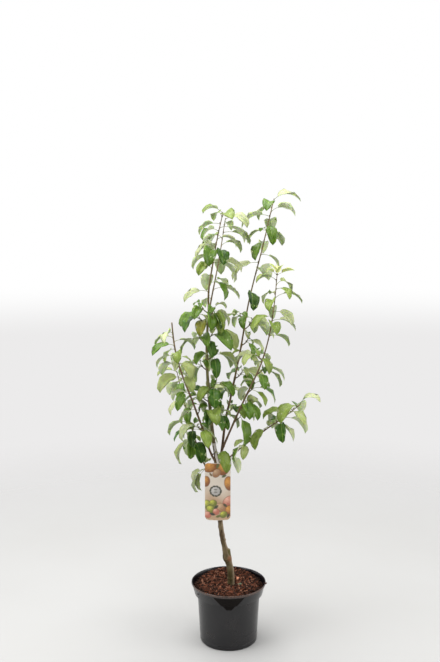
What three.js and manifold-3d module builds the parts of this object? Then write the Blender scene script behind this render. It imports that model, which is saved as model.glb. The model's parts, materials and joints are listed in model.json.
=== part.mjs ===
// A young pear tree in a round nursery pot, modelled at its real size.
// Millimetres, +Z up. The origin is the centre of the pot's flat underside, the tree is seen
// along +Y, and +X is to the right.
// The tree is one trunk, five long boughs and many small leafy sprays. A spray is a short
// stem with its leaves joined on, and each one keeps clear of its neighbours.
import * as THREE from 'three';
import { mergeVertices } from 'three/addons/utils/BufferGeometryUtils.js';
import Module from 'manifold-3d';

const wasm = await Module();
wasm.setup();

// Driving dimensions

// Clear distance between pieces that touch on the real plant
const GAP = 0.3;

const POT = {
  height: 225,
  rimRadius: 140,
  rimEdge: 6,
  rimBevel: 1,
  rimStep: 3,
  innerEdge: 8,
  lipHeight: 43,
  lipFootRadius: 128,
  bodyTopRadius: 117,
  neckHeight: 4,
  neckStep: 2,
  baseRadius: 107,
  baseEdge: 3,
  wall: 2.4,
  floor: 3,
  sides: 40,
  drainHoles: 6,
  drainRadius: 7,
  drainSides: 12,
  drainCircle: 82,
};

// The soil's surface waves a little, and lies flat round the trunk's foot
const SOIL = {
  top: 212,
  relief: 2.5,
  waveX: 0.11,
  waveY: 0.13,
  phase: 1,
  flatRadius: 34,
  fade: 20,
  bedShare: 0.94,
  rings: 4,
};

// The trunk's centre line from the soil to the fork, then on as the leader
const TRUNK_LINE = [
  [9, 0, 212], [7, 0, 267], [-9, 0, 333], [-26, 1, 410], [-36, 3, 520], [-43, 4, 676],
  [-57, 2, 768], [-74, 0, 944], [-81, 0, 1104], [-74, 0, 1250],
];

// Trunk radius at each height: root flare, rootstock, graft union, scion, fork and leader
const TRUNK_TAPER = [
  [212, 13.6], [232, 12.7], [290, 12.4], [316, 14.6], [338, 13], [362, 9.6], [540, 8.8],
  [660, 8.6], [684, 9.8], [730, 6.9], [950, 5.8], [1100, 4.9], [1250, 4.1],
];

// The sawn stub of the rootstock beside the graft
const SNAG = {
  foot: [3, -1, 300],
  top: [-1, -4, 351],
  rings: [0, 0.5, 1],
  radius: 7.6,
  taper: 0.12,
  cut: 22,
  sides: 10,
};

// Each bough: its centre line, its radius where it leaves its parent and at its tip, and the
// height where the brown limb gives way to its leafy end
const BOUGHS = {
  right: {
    parent: 'trunk', rise: 1290, foot: 5.6, tip: 1.6,
    line: [[-43, 4, 664], [-27, 24, 714], [-12, 46, 831], [10, 58, 928], [45, 68, 1101],
      [76, 74, 1281], [124, 74, 1474], [164, 70, 1648]],
  },
  front_right: {
    parent: 'right', rise: 1152, foot: 4.3, tip: 1.3,
    line: [[-25, 27, 722], [-5, 0, 779], [40, -35, 892], [79, -58, 981], [114, -72, 1063],
      [141, -84, 1162], [158, -90, 1273], [168, -92, 1388]],
  },
  low_right: {
    parent: 'trunk', rise: 800, foot: 3.6, tip: 1.4,
    line: [[-44, 4, 656], [-18, -2, 684], [12, -8, 712], [62, -14, 755], [141, -22, 816],
      [198, -28, 857], [260, -30, 908]],
  },
  left: {
    parent: 'trunk', rise: 905, foot: 4.4, tip: 2.4,
    line: [[-44, 2, 676], [-62, -14, 712], [-80, -28, 763], [-98, -42, 826], [-133, -60, 928],
      [-175, -76, 1046], [-194, -84, 1130], [-203, -88, 1214]],
  },
  low_left: {
    parent: 'trunk', rise: 800, foot: 3.6, tip: 1.3,
    line: [[-41, 4, 606], [-66, 16, 637], [-96, 34, 676], [-123, 54, 746], [-154, 76, 849],
      [-180, 92, 934], [-195, 100, 1006]],
  },
};

// Steps along each limb and sides round it, and steps and sides of its leafy end
const FACETS = {
  trunk: [34, 10], right: [18, 8], front_right: [14, 8], low_right: [8, 8], left: [12, 8],
  low_left: [10, 8], top_left: [8, 4], top_right: [8, 4],
};
const END_FACETS = [8, 4];

// The two slender tops that carry the leader on above its fork
const TOPS = {
  top_left: {
    foot: 4.0, tip: 1.2,
    line: [[-74, 0, 1248], [-73, -10, 1324], [-58, -18, 1420], [-42, -26, 1510], [-22, -28, 1600]],
  },
  top_right: {
    foot: 3.4, tip: 1.2,
    line: [[-74, 0, 1230], [-64, 10, 1290], [-46, 24, 1380], [-30, 32, 1470], [-14, 38, 1576]],
  },
};

// A leaf's length, the limits of its other sizes and angles, the shares of its length where its
// blade has an edge, and the distances kept from other sprays and from the limbs
const LEAF = {
  length: 76,
  lengthShare: [0.84, 1.16],
  widthShare: [0.5, 0.66],
  stalk: [18, 36],
  stalkRadius: 1,
  rib: 1.6,
  lift: [2, 48],
  droop: [-66, -106],
  roll: [-35, 35],
  fold: [14, 34],
  rows: [0.3, 0.7],
  widest: 0.82,
  fullness: 0.6,
  clear: 10,
  limbClear: 4,
};
const LEAF_SAMPLES = [0.02, 0.14, 0.27, 0.4, 0.54, 0.68, 0.82, 0.95];
const STALK_SAMPLES = [0.4, 0.75];
const TURNS_ASIDE = [0, 24, -24, 48, -48, 75, -75];
const SEEDS_A_SPRAY = 50;

// Leaves along a limb's end: the share of it where they start, their turn from one to the
// next, and how their size falls and their tilt grows toward the tip
const END = {
  first: 0.06,
  turn: 137.5,
  stray: 40,
  swell: 1.06,
  shrink: 0.04,
  perk: 26,
  perkPower: 5,
};

// Leaves in a fan at the end of a side stem, and the stem's own shape
const FAN = { turn: 64, stray: 50, step: 0.12 };
const STEM = { foot: 3.6, tip: 2.7, out: 0.8, rise: 0.25, upturn: 0.45, steps: 2, sides: 3 };

// Leafy ends: the limb they carry on, first leaf's compass turn in degrees (0 right, 90 back,
// 180 left, 270 front), the side its leaves lean to and how far, how they crowd toward the tip
// (1 is evenly), the share of the end where they stop, number of leaves, size and seed
const ENDS = [
  {
    limb: 'top_left', turn: 40, lean: 180, pull: 0.35,
    crowd: 0.6, last: 0.99, leaves: 18, size: 1.0, seed: 11,
  },
  {
    limb: 'top_right', turn: 10, lean: 10, pull: 0.5,
    crowd: 0.66, last: 1, leaves: 13, size: 1.0, seed: 12,
  },
  {
    limb: 'right', turn: 270, lean: 0, pull: 0.1,
    crowd: 0.62, last: 1, leaves: 15, size: 1.12, seed: 13,
  },
  {
    limb: 'front_right', turn: 350, lean: 0, pull: 0.4,
    crowd: 0.9, last: 0.95, leaves: 14, size: 0.92, seed: 14,
  },
  {
    limb: 'low_right', turn: 55, lean: 340, pull: 0.3,
    crowd: 0.9, last: 1, leaves: 11, size: 1.1, seed: 15,
  },
  {
    limb: 'left', turn: 20, lean: 185, pull: 0.7,
    crowd: 1, last: 0.9, leaves: 17, size: 0.98, seed: 26,
  },
  {
    limb: 'low_left', turn: 170, lean: 180, pull: 0.3,
    crowd: 1, last: 0.99, leaves: 9, size: 0.95, seed: 17,
  },
];

// Side sprays: the limb and height they grow from, compass turn, stem length, leaves, size, and
// how far the whole spray hangs in degrees
const SIDES = [
  { limb: 'left', height: 716, turn: 345, stem: 12, leaves: 1, size: 1.05, hang: 6 },
  { limb: 'trunk', height: 838, turn: 20, stem: 26, leaves: 4, size: 0.95 },
  { limb: 'trunk', height: 862, turn: 275, stem: 24, leaves: 5, size: 1.05 },
  { limb: 'trunk', height: 912, turn: 195, stem: 24, leaves: 4, size: 0.95 },
  { limb: 'trunk', height: 960, turn: 325, stem: 34, leaves: 5, size: 1.05 },
  { limb: 'trunk', height: 1030, turn: 165, stem: 20, leaves: 3, size: 0.95 },
  { limb: 'trunk', height: 1068, turn: 350, stem: 30, leaves: 5, size: 1.05 },
  { limb: 'trunk', height: 1128, turn: 190, stem: 26, leaves: 4, size: 1.0 },
  { limb: 'trunk', height: 1146, turn: 340, stem: 18, leaves: 3, size: 1.2 },
  { limb: 'trunk', height: 1196, turn: 172, stem: 30, leaves: 4, size: 1.0 },
  { limb: 'trunk', height: 1226, turn: 330, stem: 16, leaves: 4, size: 1.1 },
  { limb: 'trunk', height: 1240, turn: 200, stem: 22, leaves: 3, size: 0.95 },
  { limb: 'right', height: 862, turn: 10, stem: 18, leaves: 3, size: 0.95 },
  { limb: 'right', height: 925, turn: 110, stem: 24, leaves: 4, size: 1.0 },
  { limb: 'right', height: 988, turn: 350, stem: 26, leaves: 4, size: 0.95 },
  { limb: 'right', height: 1060, turn: 40, stem: 20, leaves: 3, size: 0.9 },
  { limb: 'right', height: 1112, turn: 0, stem: 22, leaves: 3, size: 0.85 },
  { limb: 'right', height: 1172, turn: 20, stem: 28, leaves: 3, size: 0.95 },
  { limb: 'right', height: 1206, turn: 190, stem: 18, leaves: 3, size: 0.95 },
  { limb: 'front_right', height: 846, turn: 338, stem: 22, leaves: 1, size: 1.3, hang: 26 },
  { limb: 'front_right', height: 895, turn: 340, stem: 16, leaves: 3, size: 0.95 },
  { limb: 'front_right', height: 958, turn: 10, stem: 18, leaves: 4, size: 1.0 },
  { limb: 'front_right', height: 1026, turn: 345, stem: 20, leaves: 3, size: 1.0 },
  { limb: 'front_right', height: 1078, turn: 170, stem: 20, leaves: 4, size: 0.9 },
  { limb: 'low_right', height: 690, turn: 55, stem: 14, leaves: 2, size: 1.05, hang: 24 },
  { limb: 'low_right', height: 752, turn: 300, stem: 14, leaves: 3, size: 0.95 },
  { limb: 'left', height: 812, turn: 215, stem: 22, leaves: 5, size: 1.0 },
  { limb: 'left', height: 876, turn: 60, stem: 18, leaves: 3, size: 0.95 },
  { limb: 'low_left', height: 646, turn: 205, stem: 14, leaves: 4, size: 1.05, hang: 34 },
  { limb: 'low_left', height: 742, turn: 190, stem: 20, leaves: 4, size: 1.05, hang: 22 },
  { limb: 'low_left', height: 786, turn: 280, stem: 18, leaves: 3, size: 0.95 },
];

const LABEL = {
  width: 98,
  bottom: 467,
  top: 685,
  centreX: -41,
  frontY: -20,
  bend: 120,
  thick: 0.9,
  corner: 15,
  cornerSteps: 5,
  columns: 8,
};

// The strap: its size, the height of its ring, and how far it runs down behind the card's edge
const STRAP = {
  width: 8,
  thick: 1.2,
  loopHeight: 752,
  loopSides: 20,
  tuck: 12,
  aside: 2,
  upper: 0.55,
  steps: 8,
};

// Space kept free of leaves round the card and the strap
const LABEL_ROOM = { beside: 5, front: 7, behind: 16, strap: 14 };

// Parameter step that gives a curve's direction, and points that stand for each limb
const CURVE_STEP = 0.002;
const LIMB_SAMPLES = 160;
const HALVINGS = 40;

// Corners nearer than this are one
const MERGE_REACH = 1e-4;

const FINISHES = {
  pot: { color: 0x2b2a2c, roughness: 0.4 },
  soil: { color: 0x4c3024, roughness: 0.95 },
  bark: { color: 0x6a5d4b, roughness: 0.8 },
  bough: { color: 0x7a6c55, roughness: 0.75 },
  leaf: { color: 0x5f7a3c, roughness: 0.5 },
  label: { color: 0xcdbf9f, roughness: 0.5 },
};

// Common shapes

const radians = THREE.MathUtils.degToRad;
const vector = (x, y, z) => new THREE.Vector3(x, y, z);

// A repeatable number from 0 to 1 for each seed and count
function draw(seed, count) {
  const value = Math.sin(seed * 127.1 + count * 311.7) * 43758.5453;
  return value - Math.floor(value);
}

function between([low, high], seed, count) {
  return low + (high - low) * draw(seed, count);
}

function table(rows, x) {
  const next = rows.findIndex((row) => row[0] >= x);
  if (next < 0) return rows[rows.length - 1][1];
  if (next === 0) return rows[0][1];
  const [x0, y0] = rows[next - 1];
  const [x1, y1] = rows[next];
  return y0 + (y1 - y0) * (x - x0) / (x1 - x0);
}

// A closed body from rings of points, each ring the same count, with flat ends
function loft(rings) {
  const count = rings[0].length;
  const points = rings.flat();
  const faces = [];
  for (let r = 0; r + 1 < rings.length; r++) {
    for (let i = 0; i < count; i++) {
      const a = r * count + i;
      const b = r * count + (i + 1) % count;
      faces.push(a, b, b + count, a, b + count, a + count);
    }
  }
  const last = (rings.length - 1) * count;
  for (let i = 1; i + 1 < count; i++) {
    faces.push(0, i + 1, i);
    faces.push(last, last + i, last + i + 1);
  }
  const geometry = new THREE.BufferGeometry();
  geometry.setAttribute('position', new THREE.Float32BufferAttribute(
    points.flatMap((p) => [p.x, p.y, p.z]), 3));
  geometry.setIndex(faces);
  return geometry;
}

// Corners that fall together are one, and faces that closed up to a line or a point are gone
function merge(geometry) {
  const bare = geometry.clone();
  bare.deleteAttribute('normal');
  bare.deleteAttribute('uv');
  const merged = mergeVertices(bare, MERGE_REACH);
  const index = merged.index.array;
  const kept = [];
  for (let i = 0; i < index.length; i += 3) {
    const [a, b, c] = [index[i], index[i + 1], index[i + 2]];
    if (a !== b && b !== c && c !== a) kept.push(a, b, c);
  }
  merged.setIndex(kept);
  return merged;
}

function toSolid(geometry) {
  const merged = merge(geometry);
  return new wasm.Manifold(new wasm.Mesh({
    numProp: 3,
    vertProperties: new Float32Array(merged.attributes.position.array),
    triVerts: new Uint32Array(merged.index.array),
  }));
}

function toGeometry(solid) {
  const mesh = solid.getMesh();
  const corners = new THREE.BufferAttribute(new Float32Array(mesh.vertProperties), 3);
  const geometry = new THREE.BufferGeometry();
  geometry.setAttribute('position', corners);
  geometry.setIndex(new THREE.BufferAttribute(new Uint32Array(mesh.triVerts), 1));
  return geometry;
}

// The largest body of a joined solid, without loose scraps
function largest(solid) {
  const bodies = solid.decompose();
  bodies.sort((a, b) => b.volume() - a.volume());
  return bodies[0];
}

// A ring of points round a centre, counted from one direction toward the other
function ringOf(centre, first, second, radius, sides) {
  return Array.from({ length: sides }, (unused, i) => {
    const angle = 2 * Math.PI * i / sides;
    return centre.clone()
      .addScaledVector(first, radius * Math.cos(angle))
      .addScaledVector(second, radius * Math.sin(angle));
  });
}

function smoothCurve(points) {
  return new THREE.CatmullRomCurve3(points, false, 'catmullrom', 0.5);
}

// Limbs

function makeLimb(line, radiusAt) {
  return { curve: smoothCurve(line.map((p) => vector(...p))), radiusAt };
}

// The curve's parameter at a height, found by halving: every limb rises all the way
function atHeight(limb, height) {
  let low = 0;
  let high = 1;
  for (let i = 0; i < HALVINGS; i++) {
    const middle = (low + high) / 2;
    if (limb.curve.getPoint(middle).z < height) low = middle;
    else high = middle;
  }
  return (low + high) / 2;
}

// Ring of a limb, counted from the side nearest the X axis
function limbRing(centre, direction, radius, sides) {
  const across = vector(direction.z, 0, -direction.x).normalize();
  const deep = direction.clone().cross(across).normalize();
  return ringOf(centre, across, deep, radius, sides);
}

// A stretch of a limb as a solid, or swollen all round and at its ends by an extra
function limbSolid(limb, from, to, steps, sides, extra = 0) {
  const rings = [];
  for (let i = 0; i <= steps; i++) {
    const t = from + (to - from) * i / steps;
    const centre = limb.curve.getPoint(t);
    const ahead = limb.curve.getPoint(Math.min(1, t + CURVE_STEP));
    const behind = limb.curve.getPoint(Math.max(0, t - CURVE_STEP));
    const direction = ahead.sub(behind).normalize();
    const radius = limb.radiusAt(t, centre.z) + extra;
    if (i === 0) centre.addScaledVector(direction, -extra);
    if (i === steps) centre.addScaledVector(direction, extra);
    rings.push(limbRing(centre, direction, radius, sides));
  }
  return toSolid(loft(rings));
}

function growLimbs() {
  const limbs = { trunk: makeLimb(TRUNK_LINE, (t, height) => table(TRUNK_TAPER, height)) };
  for (const [name, { line, foot, tip }] of Object.entries({ ...BOUGHS, ...TOPS })) {
    limbs[name] = makeLimb(line, (t) => foot + (tip - foot) * t);
  }
  return limbs;
}

// Leaves

// Centre of a leaf at a distance from its root: the stalk rises, then all of it arches over
function leafPoint(leaf, distance) {
  const bend = (leaf.droop - leaf.lift) / (leaf.stalk + leaf.length);
  const slope = leaf.lift + bend * distance;
  const out = (Math.sin(slope) - Math.sin(leaf.lift)) / bend;
  const up = (Math.cos(leaf.lift) - Math.cos(slope)) / bend;
  const outward = vector(Math.cos(leaf.turn), Math.sin(leaf.turn), 0);
  const level = vector(-Math.sin(leaf.turn), Math.cos(leaf.turn), 0);
  const centre = leaf.root.clone().addScaledVector(outward, out);
  centre.z += up;
  const ahead = outward.multiplyScalar(Math.cos(slope));
  ahead.z = Math.sin(slope);
  const above = ahead.clone().cross(level);
  const side = level.clone().multiplyScalar(Math.cos(leaf.roll))
    .addScaledVector(above, Math.sin(leaf.roll));
  const normal = above.clone().multiplyScalar(Math.cos(leaf.roll))
    .addScaledVector(level, -Math.sin(leaf.roll));
  return { centre, side, normal };
}

// Half-width of the blade: full near the middle of its length, drawn out to a point
function bladeWidth(leaf, share) {
  return leaf.width / 2 * Math.sin(Math.PI * share ** LEAF.widest) ** LEAF.fullness;
}

function makeLeaf(spot, aside, seed) {
  const length = LEAF.length * spot.size * between(LEAF.lengthShare, seed, 1);
  return {
    root: spot.root,
    turn: spot.turn + aside,
    length,
    width: length * between(LEAF.widthShare, seed, 2),
    stalk: between(LEAF.stalk, seed, 3),
    lift: radians(between(LEAF.lift, seed, 4)) + spot.perk,
    droop: radians(between(LEAF.droop, seed, 5)) + spot.perk,
    roll: radians(between(LEAF.roll, seed, 6)),
    fold: radians(between(LEAF.fold, seed, 7)),
  };
}

// The blade's left edge, rib and right edge at a share of its length
function bladeRow(leaf, share) {
  const { centre, side, normal } = leafPoint(leaf, leaf.stalk + leaf.length * share);
  const half = bladeWidth(leaf, share);
  const flat = half * Math.cos(leaf.fold);
  const raise = half * Math.sin(leaf.fold);
  return {
    left: centre.clone().addScaledVector(side, flat).addScaledVector(normal, raise),
    right: centre.clone().addScaledVector(side, -flat).addScaledVector(normal, raise),
    centre,
    normal,
  };
}

// One leaf as a closed body: a four-sided stalk, a folded blade with two rows, a pointed tip
function leafSolid(leaf) {
  const neck = leafPoint(leaf, leaf.stalk);
  const rings = [leaf.root, neck.centre].map((centre) => (
    ringOf(centre, neck.side, neck.normal, LEAF.stalkRadius, 4)));
  for (const share of LEAF.rows) {
    const row = bladeRow(leaf, share);
    rings.push([
      row.left,
      row.centre.clone().addScaledVector(row.normal, LEAF.rib / 2),
      row.right,
      row.centre.clone().addScaledVector(row.normal, -LEAF.rib / 2),
    ]);
  }
  const tip = leafPoint(leaf, leaf.stalk + leaf.length).centre;
  rings.push([tip, tip, tip, tip]);
  return toSolid(loft(rings));
}

// Points that stand for a leaf where it is tested against others
function leafSamples(leaf) {
  const points = [];
  for (const share of STALK_SAMPLES) points.push(leafPoint(leaf, leaf.stalk * share).centre);
  for (const share of LEAF_SAMPLES) {
    const { centre, left, right } = bladeRow(leaf, share);
    points.push(centre, left, right);
    points.push(centre.clone().lerp(left, 0.5), centre.clone().lerp(right, 0.5));
  }
  return points;
}

// Sprays

// Where the leaves of a leafy end sit: round and up the end of its limb
function endLeaves(spray, limbs) {
  const lean = radians(spray.lean);
  return Array.from({ length: spray.leaves }, (unused, k) => {
    const age = k / (spray.leaves - 1);
    const share = END.first + (spray.last - END.first) * age ** spray.crowd;
    const round = radians(spray.turn + END.turn * k + END.stray * (draw(spray.seed, k) - 0.5));
    return {
      root: limbs[spray.limb].curve.getPoint(spray.from + (1 - spray.from) * share),
      turn: Math.atan2(
        Math.sin(round) + spray.pull * Math.sin(lean),
        Math.cos(round) + spray.pull * Math.cos(lean)),
      size: spray.size * (END.swell - END.shrink * age * age),
      perk: radians(END.perk * age ** END.perkPower),
    };
  });
}

// Where the leaves of a side spray sit: in a fan, back along the last part of its stem
function sideLeaves(spray, limbs) {
  return Array.from({ length: spray.leaves }, (unused, k) => {
    const step = Math.ceil(k / 2) * (k % 2 === 1 ? 1 : -1);
    const stray = FAN.stray * (draw(spray.seed, k) - 0.5);
    return {
      root: stemPoint(spray, limbs, 1 - FAN.step * k),
      turn: radians(spray.turn + FAN.turn * step + stray),
      size: spray.size,
      perk: -radians(spray.hang || 0),
    };
  });
}

// The short stem of a side spray: out from the limb's axis, then turning up
function stemPoint(spray, limbs, share) {
  const limb = limbs[spray.limb];
  const place = atHeight(limb, spray.height);
  const root = limb.curve.getPoint(place);
  const turn = radians(spray.turn);
  const out = (limb.radiusAt(place, spray.height) + spray.stem * STEM.out) * share;
  const up = spray.stem * (STEM.rise * share + STEM.upturn * share * share);
  return vector(root.x + out * Math.cos(turn), root.y + out * Math.sin(turn), root.z + up);
}

function stemSolid(spray, limbs) {
  const rings = [];
  for (let i = 0; i <= STEM.steps; i++) {
    const share = i / STEM.steps;
    const ahead = stemPoint(spray, limbs, share + CURVE_STEP);
    const behind = stemPoint(spray, limbs, share - CURVE_STEP);
    const direction = ahead.sub(behind).normalize();
    const level = vector(0, 0, 1).cross(direction).normalize();
    const above = direction.clone().cross(level);
    const radius = STEM.foot + (STEM.tip - STEM.foot) * share;
    rings.push(ringOf(stemPoint(spray, limbs, share), level, above, radius, STEM.sides));
  }
  return toSolid(loft(rings));
}

// Grows every spray in turn. A leaf that would touch a limb, the label or another spray is
// turned aside, and left out where no turn helps.
function growSprays(limbs) {
  const placed = [];
  const limbPoints = {};
  for (const [name, limb] of Object.entries(limbs)) {
    limbPoints[name] = Array.from({ length: LIMB_SAMPLES + 1 }, (unused, i) => {
      const centre = limb.curve.getPoint(i / LIMB_SAMPLES);
      return { centre, radius: limb.radiusAt(i / LIMB_SAMPLES, centre.z) };
    });
  }
  const touches = (spray, samples) => samples.some((p) => {
    if (insideLabel(p)) return true;
    for (const points of Object.values(limbPoints)) {
      if (points.some((q) => p.distanceTo(q.centre) < q.radius + LEAF.limbClear)) return true;
    }
    return placed.some((other) => other.name !== spray.name
      && other.samples.some((q) => p.distanceTo(q) < LEAF.clear));
  });
  const sprays = [...ENDS, ...SIDES];
  for (const spray of sprays) {
    spray.grown = [];
    const spots = spray.stem === undefined ? endLeaves(spray, limbs) : sideLeaves(spray, limbs);
    spots.forEach((spot, k) => {
      for (const turn of TURNS_ASIDE) {
        const leaf = makeLeaf(spot, radians(turn), spray.seed * SEEDS_A_SPRAY + k);
        const samples = leafSamples(leaf);
        if (touches(spray, samples)) continue;
        spray.grown.push(leaf);
        placed.push({ name: spray.name, samples });
        return;
      }
    });
  }
  return sprays;
}

function insideLabel(p) {
  const aside = Math.abs(p.x - LABEL.centreX);
  const low = LABEL.bottom - LABEL_ROOM.beside;
  const card = aside < LABEL.width / 2 + LABEL_ROOM.beside
    && p.z > low && p.z < LABEL.top + LABEL_ROOM.beside;
  const strap = aside < LABEL_ROOM.strap
    && p.z >= LABEL.top && p.z < STRAP.loopHeight + STRAP.width;
  return p.y > LABEL.frontY - LABEL_ROOM.front && p.y < LABEL.frontY + LABEL_ROOM.behind
    && (card || strap);
}

// Pot and soil

const LIP_FOOT = POT.height - POT.lipHeight;
const LEDGE = LIP_FOOT + POT.wall;

function turned(profile) {
  const points = profile.map(([r, z]) => new THREE.Vector2(r, z));
  return new THREE.LatheGeometry(points, POT.sides).rotateX(Math.PI / 2);
}

function potSolid() {
  const rimInside = POT.rimRadius - POT.wall;
  const outline = [
    [0, 0], [POT.baseRadius - POT.baseEdge, 0], [POT.baseRadius, POT.baseEdge],
    [POT.bodyTopRadius, LIP_FOOT - POT.neckHeight], [POT.bodyTopRadius + POT.neckStep, LIP_FOOT],
    [POT.lipFootRadius, LIP_FOOT],
    [POT.rimRadius - POT.rimStep, POT.height - POT.rimEdge - POT.rimBevel],
    [POT.rimRadius, POT.height - POT.rimEdge], [POT.rimRadius, POT.height],
    [rimInside, POT.height], [rimInside - POT.rimStep, POT.height - POT.innerEdge],
    [POT.lipFootRadius - POT.wall, LEDGE], [POT.bodyTopRadius - POT.wall, LEDGE],
    [POT.baseRadius - POT.wall, POT.floor], [0, POT.floor],
  ];
  let pot = toSolid(turned(outline));
  for (let i = 0; i < POT.drainHoles; i++) {
    const angle = 2 * Math.PI * (i + 0.5) / POT.drainHoles;
    const hole = new THREE.CylinderGeometry(
      POT.drainRadius, POT.drainRadius, POT.floor * 4, POT.drainSides);
    hole.rotateX(Math.PI / 2);
    hole.translate(POT.drainCircle * Math.cos(angle), POT.drainCircle * Math.sin(angle), 0);
    pot = pot.subtract(toSolid(hole));
  }
  return pot;
}

// The soil's surface: uneven, but flat round the trunk and level with it
function soilHeight(x, y) {
  const reach = Math.hypot(x - TRUNK_LINE[0][0], y - TRUNK_LINE[0][1]);
  const rough = Math.min(1, Math.max(0, (reach - SOIL.flatRadius) / SOIL.fade));
  return SOIL.top + rough * SOIL.relief
    * Math.sin(x * SOIL.waveX + SOIL.phase) * Math.cos(y * SOIL.waveY);
}

// Radius of the soil at a height inside the pot, a little clear of the wall
function soilRadius(height) {
  const body = table(
    [[POT.floor, POT.baseRadius], [LEDGE, POT.bodyTopRadius]], height);
  const lip = table(
    [[LEDGE, POT.lipFootRadius], [POT.height - POT.innerEdge, POT.rimRadius - POT.rimStep]],
    height);
  return (height > LEDGE ? lip : body) - POT.wall - GAP;
}

function soilSolid() {
  const edge = soilRadius(SOIL.top);
  const profile = [
    [0, POT.floor + GAP], [soilRadius(POT.floor), POT.floor + GAP],
    [soilRadius(LEDGE), LEDGE + GAP], [POT.lipFootRadius - POT.wall - GAP, LEDGE + GAP],
    [edge, SOIL.top],
  ];
  for (let ring = SOIL.rings; ring >= 0; ring--) {
    profile.push([edge * SOIL.bedShare * ring / SOIL.rings, SOIL.top]);
  }
  const bed = merge(turned(profile));
  const position = bed.attributes.position;
  for (let i = 0; i < position.count; i++) {
    const [x, y, z] = [position.getX(i), position.getY(i), position.getZ(i)];
    const onBed = z > SOIL.top - 1 && Math.hypot(x, y) < edge * (SOIL.bedShare + 1) / 2;
    if (onBed) position.setZ(i, soilHeight(x, y));
  }
  return toSolid(bed);
}

// Trunk with its graft

function snagSolid() {
  const foot = vector(...SNAG.foot);
  const top = vector(...SNAG.top);
  const direction = top.clone().sub(foot).normalize();
  const across = vector(direction.z, 0, -direction.x).normalize();
  const rings = SNAG.rings.map((share) => {
    const centre = foot.clone().lerp(top, share);
    const tilt = share === 1 ? Math.tan(radians(SNAG.cut)) : 0;
    const ring = limbRing(centre, direction, SNAG.radius * (1 - SNAG.taper * share), SNAG.sides);
    ring.forEach((p) => p.addScaledVector(direction, -p.clone().sub(centre).dot(across) * tilt));
    return ring;
  });
  return toSolid(loft(rings));
}

// Cut flat just above the soil
function trunkSolid(line) {
  const reach = 2 * POT.rimRadius;
  const below = new THREE.BoxGeometry(reach, reach, reach);
  below.translate(0, 0, SOIL.top + GAP - reach / 2);
  return line.add(snagSolid()).subtract(toSolid(below));
}

// Label: a bent card with rounded corners, and a strap looped round the leader

// A point of the card: across it, up, and how far behind its front
function onCard(x, z, depth) {
  const angle = x / LABEL.bend;
  const radius = LABEL.bend - depth;
  return vector(
    LABEL.centreX + radius * Math.sin(angle),
    LABEL.frontY + LABEL.bend - radius * Math.cos(angle),
    z);
}

function labelSolid(limbs, clearTrunk) {
  const half = LABEL.width / 2;
  const columns = [];
  for (let i = 0; i <= LABEL.cornerSteps; i++) {
    const turn = Math.PI / 2 * i / LABEL.cornerSteps;
    columns.push(-half + LABEL.corner * (1 - Math.cos(turn)));
    columns.push(half - LABEL.corner * (1 - Math.cos(turn)));
  }
  for (let i = 1; i < LABEL.columns; i++) {
    columns.push((half - LABEL.corner) * (2 * i / LABEL.columns - 1));
  }
  columns.sort((a, b) => a - b);
  const rings = columns.map((x) => {
    const past = Math.max(0, Math.abs(x) - half + LABEL.corner);
    const inset = LABEL.corner - Math.sqrt(Math.max(0, LABEL.corner ** 2 - past ** 2));
    const low = LABEL.bottom + inset;
    const high = LABEL.top - inset;
    return [
      onCard(x, low, 0), onCard(x, low, LABEL.thick),
      onCard(x, high, LABEL.thick), onCard(x, high, 0),
    ];
  });
  return toSolid(loft(rings)).add(strapSolid(limbs).subtract(clearTrunk));
}

// The strap rises from the card's top edge and closes in a ring round the leader
function strapSolid(limbs) {
  const leader = limbs.trunk.curve.getPoint(atHeight(limbs.trunk, STRAP.loopHeight));
  const radius = limbs.trunk.radiusAt(0, STRAP.loopHeight) + STRAP.thick + GAP;
  const halfWidth = STRAP.width / 2;
  const halfThick = STRAP.thick / 2;
  const behind = LABEL.frontY + halfThick;
  const foot = vector(LABEL.centreX, behind, LABEL.top - STRAP.tuck);
  const top = vector(
    leader.x + STRAP.aside, leader.y - radius + halfThick, leader.z + halfWidth);
  const path = smoothCurve([
    foot,
    vector(LABEL.centreX, behind, LABEL.top + halfWidth),
    foot.clone().lerp(top, STRAP.upper),
    top,
  ]);
  const corners = [
    [-halfWidth, -halfThick], [halfWidth, -halfThick],
    [halfWidth, halfThick], [-halfWidth, halfThick],
  ];
  const rings = [];
  for (let i = 0; i <= STRAP.steps; i++) {
    const centre = path.getPoint(i / STRAP.steps);
    rings.push(corners.map(([x, y]) => centre.clone().add(vector(x, y, 0))));
  }
  const ring = new THREE.CylinderGeometry(radius, radius, STRAP.width, STRAP.loopSides);
  ring.rotateX(Math.PI / 2);
  ring.translate(leader.x, leader.y, leader.z);
  return toSolid(loft(rings)).add(toSolid(ring));
}

// Assembly

const limbs = growLimbs();
const tree = new THREE.Group();

function add(name, solid, finish) {
  const material = new THREE.MeshStandardMaterial({ ...finish, metalness: 0 });
  const mesh = new THREE.Mesh(toGeometry(solid), material);
  mesh.name = name;
  tree.add(mesh);
}

// Where each brown limb gives way to its leafy end
const splits = { trunk: 1, top_left: 0, top_right: 0 };
for (const [name, bough] of Object.entries(BOUGHS)) {
  splits[name] = atHeight(limbs[name], bough.rise);
}

// Every limb as it is, and a little swollen, to cut its neighbours clear of it
const wood = {};
const swollen = {};
for (const name of Object.keys(limbs)) {
  const [steps, sides] = FACETS[name];
  wood[name] = limbSolid(limbs[name], 0, splits[name] || 1, steps, sides);
  swollen[name] = limbSolid(limbs[name], 0, splits[name] || 1, steps, sides, GAP);
}

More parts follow.
